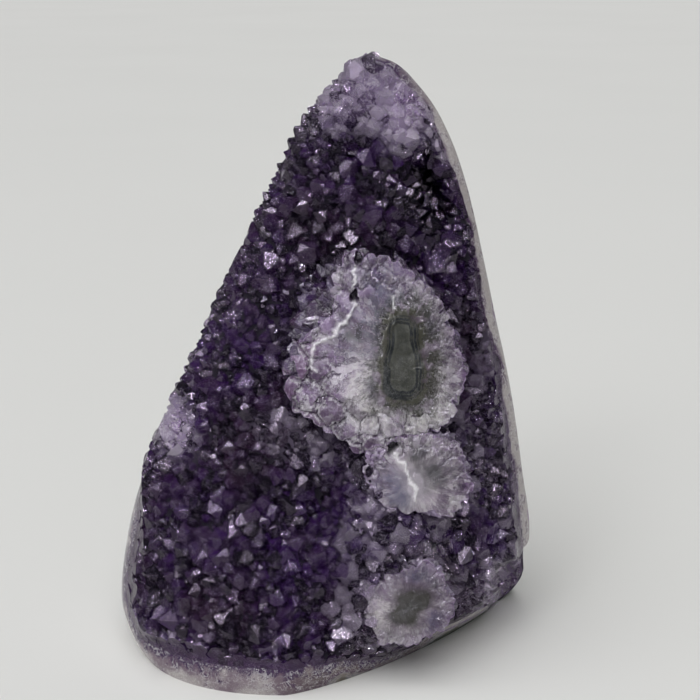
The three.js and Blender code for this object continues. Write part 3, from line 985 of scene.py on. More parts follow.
class Finish(ShaderTree):
    """A material with one Principled shader, and a body colour that others are laid over."""

    def __init__(self, name, **values):
        self.material = bpy.data.materials.new(name)
        self.material.use_nodes = True
        super().__init__(self.material.node_tree)
        self.shader = next(n for n in self.tree.nodes if n.type == "BSDF_PRINCIPLED")
        self.body = None
        self.give(**values)

    def give(self, **values):
        """Set or link the shader's inputs."""
        for label, value in values.items():
            self.feed(self.shader.inputs[label.replace("_", " ")], value)

    def lay(self, colour, *shares):
        """Lay a colour over the body, as far as the product of some shares."""
        self.body = self.mix(self.times(*shares), self.body, colour)

    def place(self, at=(0, 0, 0), lean=0.0):
        """Object coordinates in millimetres, centred on a place and turned to the ground surface."""
        coordinates = self.add("ShaderNodeTexCoord").outputs["Object"]
        inputs = {"Vector": coordinates, "Location": [c * MM for c in at]}
        inputs |= {"Rotation": (-lean, 0, 0), "Scale": (MM, MM, MM)}
        return self.add("ShaderNodeMapping", inputs, vector_type="TEXTURE").outputs[0]

    def use(self, effect, **inputs):
        """The outputs of a shared effect, placed in this finish with its own values."""
        node = self.tree.nodes.new("ShaderNodeGroup")
        node.node_tree = effect.tree
        for label, value in inputs.items():
            self.feed(node.inputs[label.replace("_", " ")], value)
        return node.outputs

    def mix(self, share, first, second):
        """A colour between two others."""
        inputs = {0: share}
        for socket, colour in ((6, first), (7, second)):
            inputs[socket] = colour if isinstance(colour, bpy.types.NodeSocket) else (*colour, 1)
        return self.add("ShaderNodeMix", inputs, data_type="RGBA").outputs[2]

    def ramp(self, value, *stops):
        """A colour ramp through stops, each a place and a colour."""
        node = self.add("ShaderNodeValToRGB", {0: value})
        elements = node.color_ramp.elements
        for place, _ in stops[2:]:
            elements.new(place)
        for element, (place, colour) in zip(elements, stops):
            element.position, element.color = place, (*colour, 1)
        return node.outputs[0]

    def attribute(self, name):
        """An attribute of the mesh, as a number."""
        return self.add("ShaderNodeAttribute", attribute_name=name).outputs["Fac"]

    def relief(self, height, strength, distance):
        """A bump on the shader's normal."""
        inputs = {"Height": height, "Strength": strength, "Distance": distance * MM}
        self.give(Normal=self.add("ShaderNodeBump", inputs).outputs[0])

    def absorb(self, colour, density):
        """The colour that light takes on its way through the quartz."""
        node = self.add("ShaderNodeVolumeAbsorption", {"Color": (*colour, 1), "Density": density})
        out = next(n for n in self.tree.nodes if n.type == "OUTPUT_MATERIAL")
        self.tree.links.new(node.outputs[0], out.inputs["Volume"])


def veils_effect():
    """Cloudy patches, wisps and fine specks inside quartz."""
    e = Effect("Veils", {"Place": (0.0, 0.0, 0.0), "Size": 4.0}, ("Wisps", "Specks", "Cloud", "Height"))
    scale = e.math("DIVIDE", 1.0, e.given["Size"])
    bend = e.noise(e.given["Place"], scale, 2.0, 0.5, "Color")
    place = e.vector("ADD", e.given["Place"], e.vector("MULTIPLY", bend, (2.5, 2.5, 2.5)))
    cloud = e.noise(place, scale, 5.0, 0.62)
    line = e.noise(place, e.times(scale, 1.9), 4.0, 0.6)
    dots = e.noise(place, e.times(scale, 9.0), 3.0, 0.7)
    thin = e.rise(e.math("ABSOLUTE", e.minus(line, 0.5)), 0.01, 0.05, 1.0, 0.0)
    e.give(Wisps=e.times(thin, e.rise(cloud, 0.42, 0.58)), Specks=e.rise(dots, 0.54, 0.66), Cloud=cloud)
    e.give(Height=e.plus(e.times(cloud, 0.8), e.times(dots, 0.2)))
    return e


# Fibres and broader strands about a core: turns, lumps for each millimetre outwards, and the
# noise at which they start and are full.
STRANDS = (("Fibres", 26.0, 0.7, 0.45, 0.58), ("Strands", 7.0, 0.2, 0.4, 0.62))


def growth_effect():
    """Rings about the core of a stalactite, and fibres and shards that grow out from it."""
    asked = {"Place": (0.0, 0.0, 0.0), "Half Height": 6.0, "Foot Radius": 4.0, "Top Radius": 2.0}
    asked |= {"Lean": 0.0, "Uneven": 1.0}
    e = Effect("Growth", asked, ("Ring", "Fibres", "Strands", "Shards"))
    place = e.given["Place"]
    shift = e.vector("SUBTRACT", e.noise(place, 0.3, 2.0, 0.5, "Color"), (0.5, 0.5, 0.5))
    amount = {0: shift, "Scale": e.times(e.given["Uneven"], 3.0)}
    shift = e.add("ShaderNodeVectorMath", amount, operation="SCALE").outputs[0]
    x, _, z = e.parts(e.vector("ADD", place, shift))
    e.give(Ring=core_distance(e, x, z))
    flat = e.combined(x, 0.0, z)
    aim, out = e.parts(e.vector("NORMALIZE", flat)), e.vector("LENGTH", flat)
    for result, turns, along, low, high in STRANDS:
        at = e.combined(e.times(aim["X"], turns), e.times(out, along), e.times(aim["Z"], turns))
        e.give(**{result: e.rise(e.noise(at, 1.0, 5.0, 0.68), low, high)})
    at = e.combined(e.times(aim["X"], 9.0), e.times(out, 0.32), e.times(aim["Z"], 9.0))
    at = e.vector("ADD", at, e.noise(place, 0.8, 2.0, 0.5, "Color"))
    e.give(Shards=e.parts(e.cells(at, 1.0, "Color"))["X"])
    return e


def core_distance(e, x, z):
    """Distance from the outline of the core, less than 0 inside it."""
    half = e.given["Half Height"]
    tall = e.times(half, 2.0)
    share = e.math("DIVIDE", e.plus(z, half), tall, use_clamp=True)
    along = e.minus(share, 0.5)
    dx = e.math("ABSOLUTE", e.minus(x, e.times(along, e.given["Lean"])))
    dz = e.math("ABSOLUTE", e.minus(z, e.times(along, tall)))
    out = e.math("POWER", e.plus(e.math("POWER", dx, 2.5), e.math("POWER", dz, 2.5)), 0.4)
    return e.minus(out, e.reach(share, 0.35, 0.85, e.given["Foot Radius"], e.given["Top Radius"]))


def polish_effect():
    """Fine scratches and pits on ground quartz."""
    asked = {"Place": (0.0, 0.0, 0.0), "Smoothest": 0.06, "Dullest": 0.3}
    e = Effect("Polish", asked, ("Roughness", "Height"))
    place = e.given["Place"]
    broad = e.noise(place, 0.35, 4.0, 0.5)
    scratch = e.noise(e.vector("MULTIPLY", place, (3.0, 3.0, 0.25)), 1.0, 3.0, 0.5)
    dull = e.plus(e.times(broad, 0.7), e.times(scratch, 0.3))
    e.give(Roughness=e.rise(dull, 0.35, 0.7, e.given["Smoothest"], e.given["Dullest"]))
    e.give(Height=e.plus(e.rise(e.cells(place, 1.1), 0.05, 0.22), e.times(scratch, 0.25)))
    return e


def shared_effects():
    """The node groups that the finishes share, built once."""
    found = {}
    for name, make in (("Veils", veils_effect), ("Growth", growth_effect), ("Polish", polish_effect)):
        group = bpy.data.node_groups.get(name)
        found[name.lower()] = Tree(group) if group else make()
    return found


def amethyst_finish(colours, shared):
    """Deep violet quartz, clear within, with smoky and pale zones."""
    f = Finish("violet_quartz", IOR=QUARTZ_IOR, Transmission_Weight=0.7, Specular_IOR_Level=DIM,
               Specular_Tint=(0.9, 0.76, 1, 1))
    place = f.place()
    tone, pale = f.attribute("tone"), f.attribute("pale")
    inside = f.use(shared["veils"], Place=place, Size=2.4)
    cloudy = f.times(inside["Cloud"], 0.8)
    shade = f.plus(f.times(tone, 0.6), cloudy)
    hue = f.mix(f.reach(f.noise(place, 0.03, 2.0), 0.4, 0.6), colours.violet, colours.smoky)
    f.body = f.mix(f.reach(shade, 0.46, 0.78), colours.deep, hue)
    f.lay(colours.grey, f.reach(shade, 0.7, 1.05))
    f.lay(colours.mauve, f.attribute("ground"), f.reach(shade, 0.4, 0.9, 0.2, 0.9))
    push = f.plus(f.times(tone, 0.9), cloudy, pale)
    fair = f.mix(f.reach(tone, 0.0, 0.7), colours.lilac, colours.pale)
    f.lay(fair, f.reach(push, 0.95, 1.65, 0.0, 0.95), f.reach(pale, 0.02, 0.25))
    # Where pale is below 0, in the pocket, deep violet is laid as the painted shade of the hollow.
    f.lay(colours.deep, f.math("MULTIPLY", pale, -1.0, use_clamp=True))
    light = f.plus(f.times(inside["Wisps"], 0.5), f.times(inside["Specks"], 0.22))
    light = f.math("MULTIPLY", light, f.plus(f.times(pale, 2.4), 1.0), use_clamp=True)
    f.lay(f.mix(pale, VEIL, BRIGHT_VEIL), light)
    f.give(Base_Color=f.body, Roughness=f.reach(f.noise(place, 0.9, 4.0), 0.35, 0.75, 0.03, 0.15))
    f.relief(inside["Height"], 0.6, 0.3)
    f.absorb((0.34, 0.14, 0.54), 160)
    return f.material


def blend(first, second, share):
    """A colour between two others, as plain numbers."""
    return tuple((1 - share) * a + share * b for a, b in zip(first, second))


RAMP_START, RAMP_LENGTH = -4.0, 20.0  # where bands of colour lie, from the outline of a core


def ring_stops(name, colours):
    """Colours outwards from each stalactite's core, by share of RAMP_LENGTH from RAMP_START."""
    green, olive, lilac, dark = colours.core, colours.halo, colours.lilac, colours.outline
    soft, dusky = blend(lilac, colours.milky, 0.35), blend(lilac, olive, 0.65)
    if name == "middle":
        pale = blend(colours.milky, blend(lilac, colours.bluish, 0.5), 0.5)
        return (0, pale), (0.26, pale), (0.45, soft), (0.7, lilac), (1, lilac)
    if name == "lower":
        within = (0, green), (0.14, green), (0.19, olive), (0.26, olive)
        return *within, (0.37, dusky), (0.62, lilac), (1, lilac)
    if name == "plain":
        within = (0, green), (0.14, green), (0.19, olive), (0.24, olive)
        return *within, (0.31, dusky), (0.42, soft), (0.62, lilac), (1, lilac)
    return (
        (0, green), (0.14, green), (0.17, blend((0, 0, 0), green, 1.4)), (0.185, dark),
        (0.21, dark), (0.22, green), (0.23, dark), (0.25, dark), (0.262, olive), (0.275, dark),
        (0.29, olive), (0.51, olive), (0.58, dusky), (0.67, soft), (0.78, lilac), (1, lilac),
    )


def growth_ring(f, name, place, grown):
    """Distance from the core, uneven and frayed by the strands that grow outwards."""
    fine = f.minus(f.noise(place, 1.4, 4.0), 0.5)
    ring = f.plus(grown["Ring"], f.times(fine, 0.5))
    if name == "large":
        x, _, z = f.parts(place)
        left = f.times(f.reach(x, -2, -6), f.reach(z, -9, -4))
        ring = f.plus(ring, f.times(left, f.reach(ring, 0.6, 2.5, 0.0, 1.2)))
    frayed = f.times(f.minus(grown["Strands"], 0.5), f.reach(ring, 2.0, 8.0, 0.0, 3.2))
    return f.plus(ring, frayed, f.times(fine, f.reach(ring, 2, 6, 0, 4)))


def lay_bands(f, name, form, colours, place, ring):
    """Bands of colour about the core, with a heavy dark one at its lower left."""
    share = f.math("DIVIDE", f.minus(ring, RAMP_START), RAMP_LENGTH)
    faint = f.reach(f.noise(place, 0.28, 2.0), 0.5, 0.64)
    f.body = f.ramp(share, *ring_stops(name, colours))
    f.lay(f.ramp(share, *ring_stops("plain", colours)), faint, form["plain"])
    x, _, z = f.parts(place)
    corner = f.reach(f.plus(x, f.times(z, 0.7)), -5.0, -8.0, 0.0, 0.95)
    f.lay(colours.outline, f.reach(ring, 0.2, 0.5), f.reach(ring, 2.4, 1.6), corner)


def lay_fibres(f, form, colours, place, ring, grown, clean):
    """Chalky quartz and white fibres that run out from the core."""
    start = form["milky_from"]
    milky = f.times(f.attribute("milky"), f.reach(ring, 15.0, 9.0, 0.1, 1.0))
    frost = f.reach(f.noise(place, 0.35, 4.0, 0.6), 0.36, 0.58, 0.35, 1.0)
    fibres = f.times(f.math("ADD", grown["Fibres"], 0.3, use_clamp=True), frost)
    f.lay(colours.milky, milky, milky, f.reach(ring, start, start + 4, 0.0, 0.28))
    f.lay(colours.milky, fibres, milky, f.reach(ring, start, start + 3, 0.03, 1.0), clean)


def lay_frost(f, form, place, ring, inside, shown):
    """White specks and wisps, which gather in patches."""
    frosted = f.reach(f.noise(f.vector("ADD", place, (31, 7, 13)), 0.22, 3.0), 0.42, 0.6, 0.15, 1.0)
    most = f.times(shown, f.reach(ring, 2.0, 8.0, 0.1, form["speckled"]))
    specks = f.times(inside["Specks"], frosted, most)
    f.lay(FROST, f.larger(specks, f.times(inside["Wisps"], most, 0.6)))


def growth_colour(f, name, form, colours, shared, place):
    """Lay a stalactite's colours outwards from its core. Gives the distance from the core, what lies
    inside the quartz, and how it grew."""
    half, foot, top, lean = form["core"]
    grown = f.use(shared["growth"], Place=place, Half_Height=half, Foot_Radius=foot,
                  Top_Radius=top, Lean=lean * 2, Uneven=form["uneven"])
    inside = f.use(shared["veils"], Place=place, Size=3.6)
    ring = growth_ring(f, name, place, grown)
    lay_bands(f, name, form, colours, place, ring)
    clear, murky = f.attribute("clear"), f.attribute("murky")
    glassy = f.reach(ring, form["glassy_from"], 2 * form["glassy_from"], 0.0, 0.85)
    f.lay(colours.bluish, clear, glassy)
    f.lay(colours.smoke, murky, glassy)
    mottle = f.plus(f.times(inside["Cloud"], 0.75), f.times(grown["Strands"], 0.25))
    f.lay(colours.mauve, f.reach(mottle, 0.42, 0.58), f.reach(ring, 4.0, 10.0, 0.0, 0.75))
    bare = f.rest(f.larger(clear, f.times(murky, 0.6)), 0.85)
    evident = f.plus(f.times(f.attribute("milky"), 0.5), 0.5)
    # Dark shard cells: partly darker crystals, partly painted shade for the gaps between shards.
    shard_shade = f.times(f.reach(grown["Shards"], 0.45, 0.2), f.reach(ring, 4.0, 9.0, 0.0, 0.95))
    f.lay(SHARD_GAP_SHADE, shard_shade, evident)
    lit = f.reach(ring, form["milky_from"] + 1, form["milky_from"] + 4, 0.0, form["lit"])
    f.lay(FROST, f.reach(grown["Shards"], 0.62, 0.85), lit, bare, evident)
    lay_fibres(f, form, colours, place, ring, grown, f.times(f.rest(shard_shade, 0.6), bare))
    lay_frost(f, form, place, ring, inside, f.times(bare, evident))
    # Painted shade laid over the grey patches, darkening them.
    f.lay(MURKY_SHADE, murky, glassy, 0.7)
    return ring, inside, grown


def natural_colour(f, form, colours, inside):
    """Unground points: lilac to smoky, with white wisps."""
    body = f.mix(f.reach(f.attribute("tone"), 0.2, 0.9), form["natural_colour"], colours.mauve)
    body = f.mix(f.reach(inside["Cloud"], 0.45, 0.65, 0.0, 0.6), body, colours.smoke)
    light = f.plus(f.times(inside["Wisps"], 0.45), f.times(inside["Specks"], 0.4))
    return f.mix(light, body, NATURAL_FROST)


def lay_lobes(f, form, colours, place, ring):
    """The lobes farther from the core than the milky quartz, then seams, white ridges with their painted
    highlight, the painted shade of the grooves between lobes, and the painted shade of the pits.
    """
    f.lay(colours.rosy, f.reach(f.attribute("lobe"), 0.3, 1.0), f.reach(ring, 6.0, 12.0, 0.0, 0.85))
    outer, shade = f.reach(ring, 4.5, 10.0), f.attribute("shade")
    f.lay(colours.mauve, outer, f.reach(shade, 0.5, 0.95, 0.0, 0.75))
    f.lay(BRIGHT_LOBE, outer, f.reach(shade, 0.35, 0.1, 0.0, 0.7))
    broken = f.reach(f.noise(place, 0.9, 5.0, 0.65), 0.42, 0.56)
    # The white ridges are laid white: partly the quartz's own white, partly a painted highlight along
    # their polished crests.
    white_ridge_highlight = f.times(f.attribute("white_ridge_highlight"), f.plus(f.times(broken, form["ragged"]), 1 - form["ragged"]))
    f.lay(SEAM_WHITE_AND_HIGHLIGHT, f.larger(f.times(f.attribute("seam"), broken), white_ridge_highlight))
    # Painted shade in the grooves between the lobes, broken up in places.
    f.lay(CREVICE_SHADE, f.attribute("crevice_shade"), f.reach(f.noise(place, 0.6, 4.0), 0.44, 0.56, 0.0, 0.8))
    # Painted shade in the pits.
    f.lay(colours.deep, f.attribute("pit"), 0.85)


def points_finish(name, form, colours, shared):
    """A stalactite's quartz: natural points, and their ground and polished ends."""
    clearness = 0.4
    f = Finish(name + "_points", IOR=QUARTZ_IOR, Specular_IOR_Level=1.5 * DIM,
               Specular_Tint=(0.9, 0.84, 1, 1))
    place = f.place(ground_at(form["x"], form["z"]).tolist(), GRIND["lean"])
    ground, white_ridge_highlight = f.attribute("ground"), f.attribute("white_ridge_highlight")
    ring, inside, grown = growth_colour(f, name, form, colours, shared, place)
    lay_lobes(f, form, colours, place, ring)
    f.give(Base_Color=f.mix(ground, natural_colour(f, form, colours, inside), f.body))
    smoothed = f.use(shared["polish"], Place=place, Smoothest=0.12, Dullest=0.32)
    polished = f.times(smoothed["Roughness"], f.rest(f.larger(f.attribute("clear"), white_ridge_highlight), 0.8))
    polished = f.plus(polished, f.times(f.attribute("seam"), 0.3))
    natural = f.reach(f.noise(place, 0.9, 4.0), 0.35, 0.75, 0.04, 0.25)
    f.give(Roughness=f.plus(natural, f.times(f.minus(polished, natural), ground)))
    # Less clear along the white ridges, so that their painted highlight shows brighter.
    f.give(Transmission_Weight=f.minus(clearness, f.times(white_ridge_highlight, ground, clearness)))
    grains = f.plus(f.cells(place, 0.8), f.times(grown["Shards"], ground))
    height = f.plus(f.times(smoothed["Height"], 0.2), inside["Height"], f.times(grains, 0.6))
    f.relief(height, 0.5, 0.3)
    f.absorb((0.74, 0.68, 0.8), 80)
    return f.material


def core_finish(name, form, colours, shared):
    """The banded core of a stalactite and the milky quartz round it."""
    f = Finish(name + "_core", IOR=QUARTZ_IOR, Specular_IOR_Level=DIM)
    place = f.place(ground_at(form["x"], form["z"]).tolist(), GRIND["lean"])
    ring = growth_colour(f, name, form, colours, shared, place)[0]
    mottle = f.reach(f.noise(place, 0.7, 5.0), 0.3, 0.7, 0.0, 0.45)
    f.lay(colours.outline, mottle, f.reach(ring, -1.0, 0.4, 1.0, 0.0))
    smoothed = f.use(shared["polish"], Place=place, Smoothest=0.1, Dullest=0.35)
    f.give(Base_Color=f.body, Roughness=smoothed["Roughness"])
    f.relief(smoothed["Height"], 0.1, 0.1)
    return f.material


WALL_LAYERS = 4.0  # thicknesses of the quartz that the wall's bands of colour take up


def wall_layers(f, colours, place):
    """Lay the bands of the wall inwards from the druse. Gives the share that is quartz."""
    uneven = f.times(f.minus(f.noise(place, 0.12, 4.0), 0.5), 0.9)
    fine = f.times(f.minus(f.noise(place, 0.9, 3.0), 0.5), 0.16)
    layer = f.plus(f.attribute("layer"), uneven, fine)
    milky, rind, green = colours.rim, colours.rind, colours.celadon
    f.body = f.ramp(
        f.math("DIVIDE", layer, WALL_LAYERS), (0, colours.mauve), (0.07, milky), (0.2, milky),
        (0.27, colours.lilac), (0.30, AGATE), (0.33, milky), (0.345, AGATE), (0.37, milky),
        (0.385, AGATE), (0.42, green), (0.52, green), (0.6, rind), (1, rind))
    return f.reach(layer, 1.1, 1.4, 1.0, 0.0)


def lay_rim(f, colours, place, inside, quartz):
    """The polished quartz rim: clear and frosty patches, stains by the druse, and a dark low front."""
    x, _, z = f.parts(place)
    # On the right the rim keeps its pale colour, without the clear dark patches and stains: partly its own
    # paler quartz, partly painted light that stands in for light from below.
    right = f.reach(f.plus(x, f.times(inside["Cloud"], 20)), 26, 40)
    frosty = f.reach(f.noise(place, 0.06, 3.0), 0.4, 0.58)
    f.lay(CLEAR_RIM, quartz, f.rest(f.larger(frosty, right)), 0.8)
    f.lay(LOW_RIM, f.reach(x, -20, 0), f.reach(x, 34, 24), f.reach(z, 12, 5), quartz, 0.75)
    f.lay(colours.mauve, f.reach(inside["Cloud"], 0.48, 0.66, 0.0, 0.6), quartz)
    uneven = f.times(f.noise(place, 0.5, 3.0), 5.0)
    near = f.plus(f.attribute("grows"), f.times(inside["Cloud"], 14.0), uneven)
    f.lay(STAIN, f.reach(near, 5.5, 8.5, 0.0, 0.9), f.rest(right), quartz)
    specks = f.times(inside["Specks"], f.plus(f.times(frosty, 0.7), 0.15))
    f.lay(RIM_FROST, f.larger(f.times(inside["Wisps"], 0.6), specks), quartz)


def lay_basalt(f, place, grain, stone):
    """The basalt rind: rusty and mossy patches, pale grit and small gas holes with painted shade in them.
    Gives the holes.
    """
    elsewhere = f.vector("ADD", place, (90, 0, 0))
    f.lay(RUST, stone, f.reach(f.noise(place, 0.07, 5.0, 0.65), 0.5, 0.66, 0.0, 0.75))
    f.lay(MOSS, stone, f.reach(f.noise(elsewhere, 0.11, 5.0, 0.65), 0.52, 0.66, 0.0, 0.8))
    f.lay(GRIT, f.reach(grain, 0.5, 0.66), stone, 0.75)
    radius = f.reach(f.noise(elsewhere, 0.16, 4.0, 0.7), 0.47, 0.72, 0.0, 0.42)
    hole = f.times(f.reach(f.minus(f.cells(place, 0.5), radius), 0.0, -0.1), stone)
    # Painted shade in the gas holes.
    f.lay(HOLE_SHADE, hole, 0.8)
    return hole


def wall_finish(colours, shared):
    """The block: a bed painted dark as the shade under the points, polished quartz rim, agate bands, and a
    rind of green-grey basalt.
    """
    f = Finish("geode_wall", IOR=QUARTZ_IOR, Specular_IOR_Level=DIM)
    place = f.place()
    inside = f.use(shared["veils"], Place=place, Size=3.4)
    smoothed = f.use(shared["polish"], Place=place, Smoothest=0.08, Dullest=0.28)
    quartz = wall_layers(f, colours, place)
    stone, grain = f.rest(quartz), f.noise(place, 1.6, 6.0, 0.75)
    lay_rim(f, colours, place, inside, quartz)
    hole = lay_basalt(f, place, grain, stone)
    # The bed under the points is laid near-black deep violet, as painted shade in the gaps between the
    # points; where the quartz is pale it takes a pale lilac.
    bed = f.reach(f.attribute("layer"), -0.25, 0.02, 1.0, 0.0)
    f.lay(f.mix(f.attribute("pale"), colours.deep, PALE_BED), bed)
    rough = f.times(stone, f.reach(grain, 0.2, 0.8, 0.7, 0.95))
    rough = f.plus(rough, f.times(quartz, smoothed["Roughness"]))
    f.give(Base_Color=f.body, Roughness=f.larger(rough, bed))
    height = f.minus(f.times(grain, stone), hole)
    f.relief(f.plus(height, f.times(smoothed["Height"], quartz, 0.08)), 0.6, 0.6)
    return f.material


def floor_finish():
    """A plain pale floor."""
    f = Finish("floor", Roughness=0.9, Specular_IOR_Level=0.0)
    f.give(Base_Color=f.mix(f.noise(f.place(), 0.002), (0.79, 0.79, 0.77), (0.83, 0.83, 0.81)))
    return f.material


# ------------------------------------------------------------------ pieces


def finished(piece):
    """Put a piece on the body."""
    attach(piece, "root")
    return piece


# Layers of a stalactite's crystals: how deep their tips lie behind the ground surface, and how far
# they lean forward, at least and at most, in degrees.
LAYERS = ((-2.5, 38, 60), (-0.5, 28, 52), (1.8, 18, 45), (4.5, 8, 32), (8, 0, 22), (12, -8, 8))
UNGROUND = 2.4  # how far the tips of unground crystals stand behind the ground surface
BLUNT = 3  # how far rosy crystals of the foremost layers come forward, so that more is ground off
NATURAL_TILT, BLUNT_TILT = 50, 64  # what unground and such rosy crystals lean towards, in degrees
TIP_HEIGHT = 0.6  # of a crystal's tip over the place that it grows at, in widths


def radiating_places(form):
    """Where a stalactite's crystals stand, their directions and their widths."""
    chance = random.Random(form["seed"])
    heart = ground_at(form["x"], form["z"])
    places, aims, widths = [], [], []
    for layer, (sunk, least_tilt, most_tilt) in enumerate(LAYERS):
        angle = chance.uniform(0, 1)
        while angle < 2 * math.pi + 0.3:
            natural = float(around(form["natural"], angle))
            width = float(around(form["width"], angle)) * chance.uniform(0.6, 1.15)
            reach = float(around(form["reach"], angle)) * chance.uniform(0.9, 1.03)
            reach *= 1 - 0.07 * natural * (len(LAYERS) - 1 - layer)
            tip = ground_at(heart[0] + reach * math.cos(angle), heart[2] + reach * math.sin(angle))
            depth = sunk * (1 - 0.5 * natural) + UNGROUND * natural
            tip[1] += depth + chance.uniform(-1, 1)
            tilt = chance.uniform(least_tilt, most_tilt)
            tilt += 0.75 * natural * (NATURAL_TILT - tilt)
            if sunk < 0:
                blunt = float(around(form["rosy"], angle)) * (1 - natural)
                tilt += 0.85 * blunt * (BLUNT_TILT - tilt)
                depth -= BLUNT * blunt
                tip[1] -= BLUNT * blunt
            back = reach * math.tan(math.radians(tilt))
            root = heart + np.array((0, depth + back, 0))
            aim = (tip - root) / np.linalg.norm(tip - root)
            places.append((tip - aim * TIP_HEIGHT * width) * MM)
            aims.append(aim)
            widths.append(width * MM)
            angle += 0.72 * width / reach
    return np.array(places), np.array(aims), np.array(widths)


def places_mesh(form):
    """A stalactite's crystals as bare points that carry their directions and widths."""
    places, aims, widths = radiating_places(form)
    mesh = plain_mesh("places", places.tolist())
    layer = mesh.attributes.new("aim", "FLOAT_VECTOR", "POINT")
    layer.data.foreach_set("vector", aims.astype(np.float32).ravel())
    put(mesh, "wide", widths)
    return mesh


HEART_FRONT, HEART_BACK = 9, 26  # how far a heart reaches before and behind the ground surface
HEART_TURNS, HEART_RINGS = 96, 36


def heart_mesh(name, form, share):
    """The middle of a stalactite, out to a share of its crystals' reach."""
    lean = GRIND["lean"]
    out = np.array((0, -math.cos(lean), math.sin(lean)))
    up = np.array((0, math.sin(lean), math.cos(lean)))
    heart = ground_at(form["x"], form["z"])
    angle, depth = np.meshgrid(np.linspace(0, 2 * math.pi, HEART_TURNS, endpoint=False),
                               np.linspace(-HEART_FRONT, HEART_BACK, HEART_RINGS))
    reach = around(form["reach"], angle) * share * (1 - 0.25 * around(form["natural"], angle))
    ring = np.cos(angle)[..., None] * np.array((1, 0, 0)) + np.sin(angle)[..., None] * up
    points = heart - depth[..., None] * out + ring * reach[..., None]
    points += ring * (1.6 * lumps(points, 4, form["seed"]))[..., None]
    mesh = grid_mesh(name, points, heart + HEART_FRONT * out, heart - HEART_BACK * out)
    bm = bmesh.new()
    bm.from_mesh(mesh)
    bmesh.ops.recalc_face_normals(bm, faces=bm.faces)
    bm.to_mesh(mesh)
    bm.free()
    return mesh


def length(name, description, millimetres):
    """A length that the user can set."""
    return FloatProperty(name=name, description=description, default=millimetres * MM, unit="LENGTH")


class ClusterSizes(bpy.types.PropertyGroup):
    """Sizes of the quartz points."""

    spacing: length("Spacing", "Least distance between large points in the druse", 3.35)
    width: length("Width", "Width of the largest points in the druse", 7.3)
    fine_spacing: length("Fine spacing", "Least distance between the small points in the gaps", 1.9)
    fine_width: length("Fine width", "Width of the largest of the small points", 3.3)
    rise: length("Rise", "How far points stand out from their neighbours at most", 1.1)
    lean: FloatProperty(
        name="Lean", description="How far points lean away from straight out at most",
        default=0.42, subtype="ANGLE")
    seed: IntProperty(
        name="Seed", description="Picks one random arrangement of the points", default=5)


def colour(name, description, *value):
    """A colour that the user can set."""
    return FloatVectorProperty(name=name, description=description, default=value, subtype="COLOR")


class ClusterColours(bpy.types.PropertyGroup):
    """Colours of the quartz, the cores and the rind."""

    violet: colour("Violet", "Clear amethyst", 0.075, 0.012, 0.19)
    smoky: colour("Smoky", "Browner amethyst", 0.06, 0.02, 0.065)
    grey: colour("Grey violet", "Greyer crystals among the violet", 0.09, 0.042, 0.135)
    # Deep violet is also laid as painted shade: on the bed, in the pits and in the pocket.
    deep: colour("Deep violet", "The bed under the points", 0.006, 0.003, 0.012)
    pale: colour("Pale", "Pale quartz near the tip of the cluster", 0.72, 0.66, 0.76)
    lilac: colour("Lilac", "Outer quartz of the stalactites", 0.24, 0.135, 0.31)
    mauve: colour("Mauve", "Darker patches in pale quartz", 0.085, 0.04, 0.105)
    rosy: colour("Rosy", "Pinker lobes of the stalactites", 0.34, 0.16, 0.38)
    bluish: colour("Bluish", "Clear bluish patches in the stalactites", 0.10, 0.10, 0.19)
    smoke: colour("Smoke", "Grey crystals beside the stalactites", 0.068, 0.069, 0.072)
    milky: colour("Milky", "Fibrous quartz round the cores", 0.82, 0.80, 0.77)
    core: colour("Core", "Grey-green stone of the cores", 0.064, 0.066, 0.056)
    outline: colour("Outline", "Dark bands round the cores", 0.012, 0.015, 0.019)
    halo: colour("Halo", "Olive quartz round the cores", 0.055, 0.054, 0.041)
    rim: colour("Rim", "Polished quartz at the block's edge", 0.47, 0.43, 0.43)
    celadon: colour("Celadon", "Green layer under the quartz", 0.09, 0.11, 0.08)
    rind: colour("Rind", "Basalt at the back", 0.12, 0.115, 0.10)


def polished_piece(name, mesh, material):
    """A piece from a smoothly ground mesh."""
    mesh.name = name
    polish(mesh, 50)
    mesh.materials.clear()
    mesh.materials.append(material)
    return finished(link(name, mesh))


class CLUSTER_OT_wall(bpy.types.Operator):
    """Make the block of geode wall, with the piece missing at its lower right"""

    bl_idname = "cluster.wall"
    bl_label = "Geode wall"
    bl_options = {"REGISTER", "UNDO"}

    def execute(self, context):
        """Replace the plain solid with the block."""
        finish = wall_finish(context.scene.cluster_colours, shared_effects())
        wall = polished_piece("geode_wall", cut(block_mesh(), break_mesh()), finish)
        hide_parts(NODE)
        return {"FINISHED"}


# How long the roots of quartz points are, in widths of a point: in the druse, where they are short,
# and in the stalactites.
VIOLET_ROOT, PALE_ROOT = 1.7, 3.3
SMALLEST = 0.42  # width of the druse's smallest points, as a share of the largest


def bed_mesh():
    """The faces of the block that the druse grows on."""
    mesh = cut(block_mesh(), break_mesh())
    bed = part_of(mesh, face_means(mesh, "grows") >= 0)
    corners = np.zeros(len(bed.vertices) * 3, np.float32)
    bed.vertices.foreach_get("co", corners)
    places = corners.reshape(-1, 3) / MM
    low_left = smooth(60 - places[:, 2], 0, 40) * smooth(20 - places[:, 0], 0, 30)
    coarse = 0.95 + 0.25 * lumps(places, 16, 8, 2) + 0.12 * low_left
    coarse *= 0.8 + 0.2 * smooth(get(bed, "grows"), 1, 10)
    put(bed, "coarse", np.clip(coarse, 0.72, 1.35))
    return bed


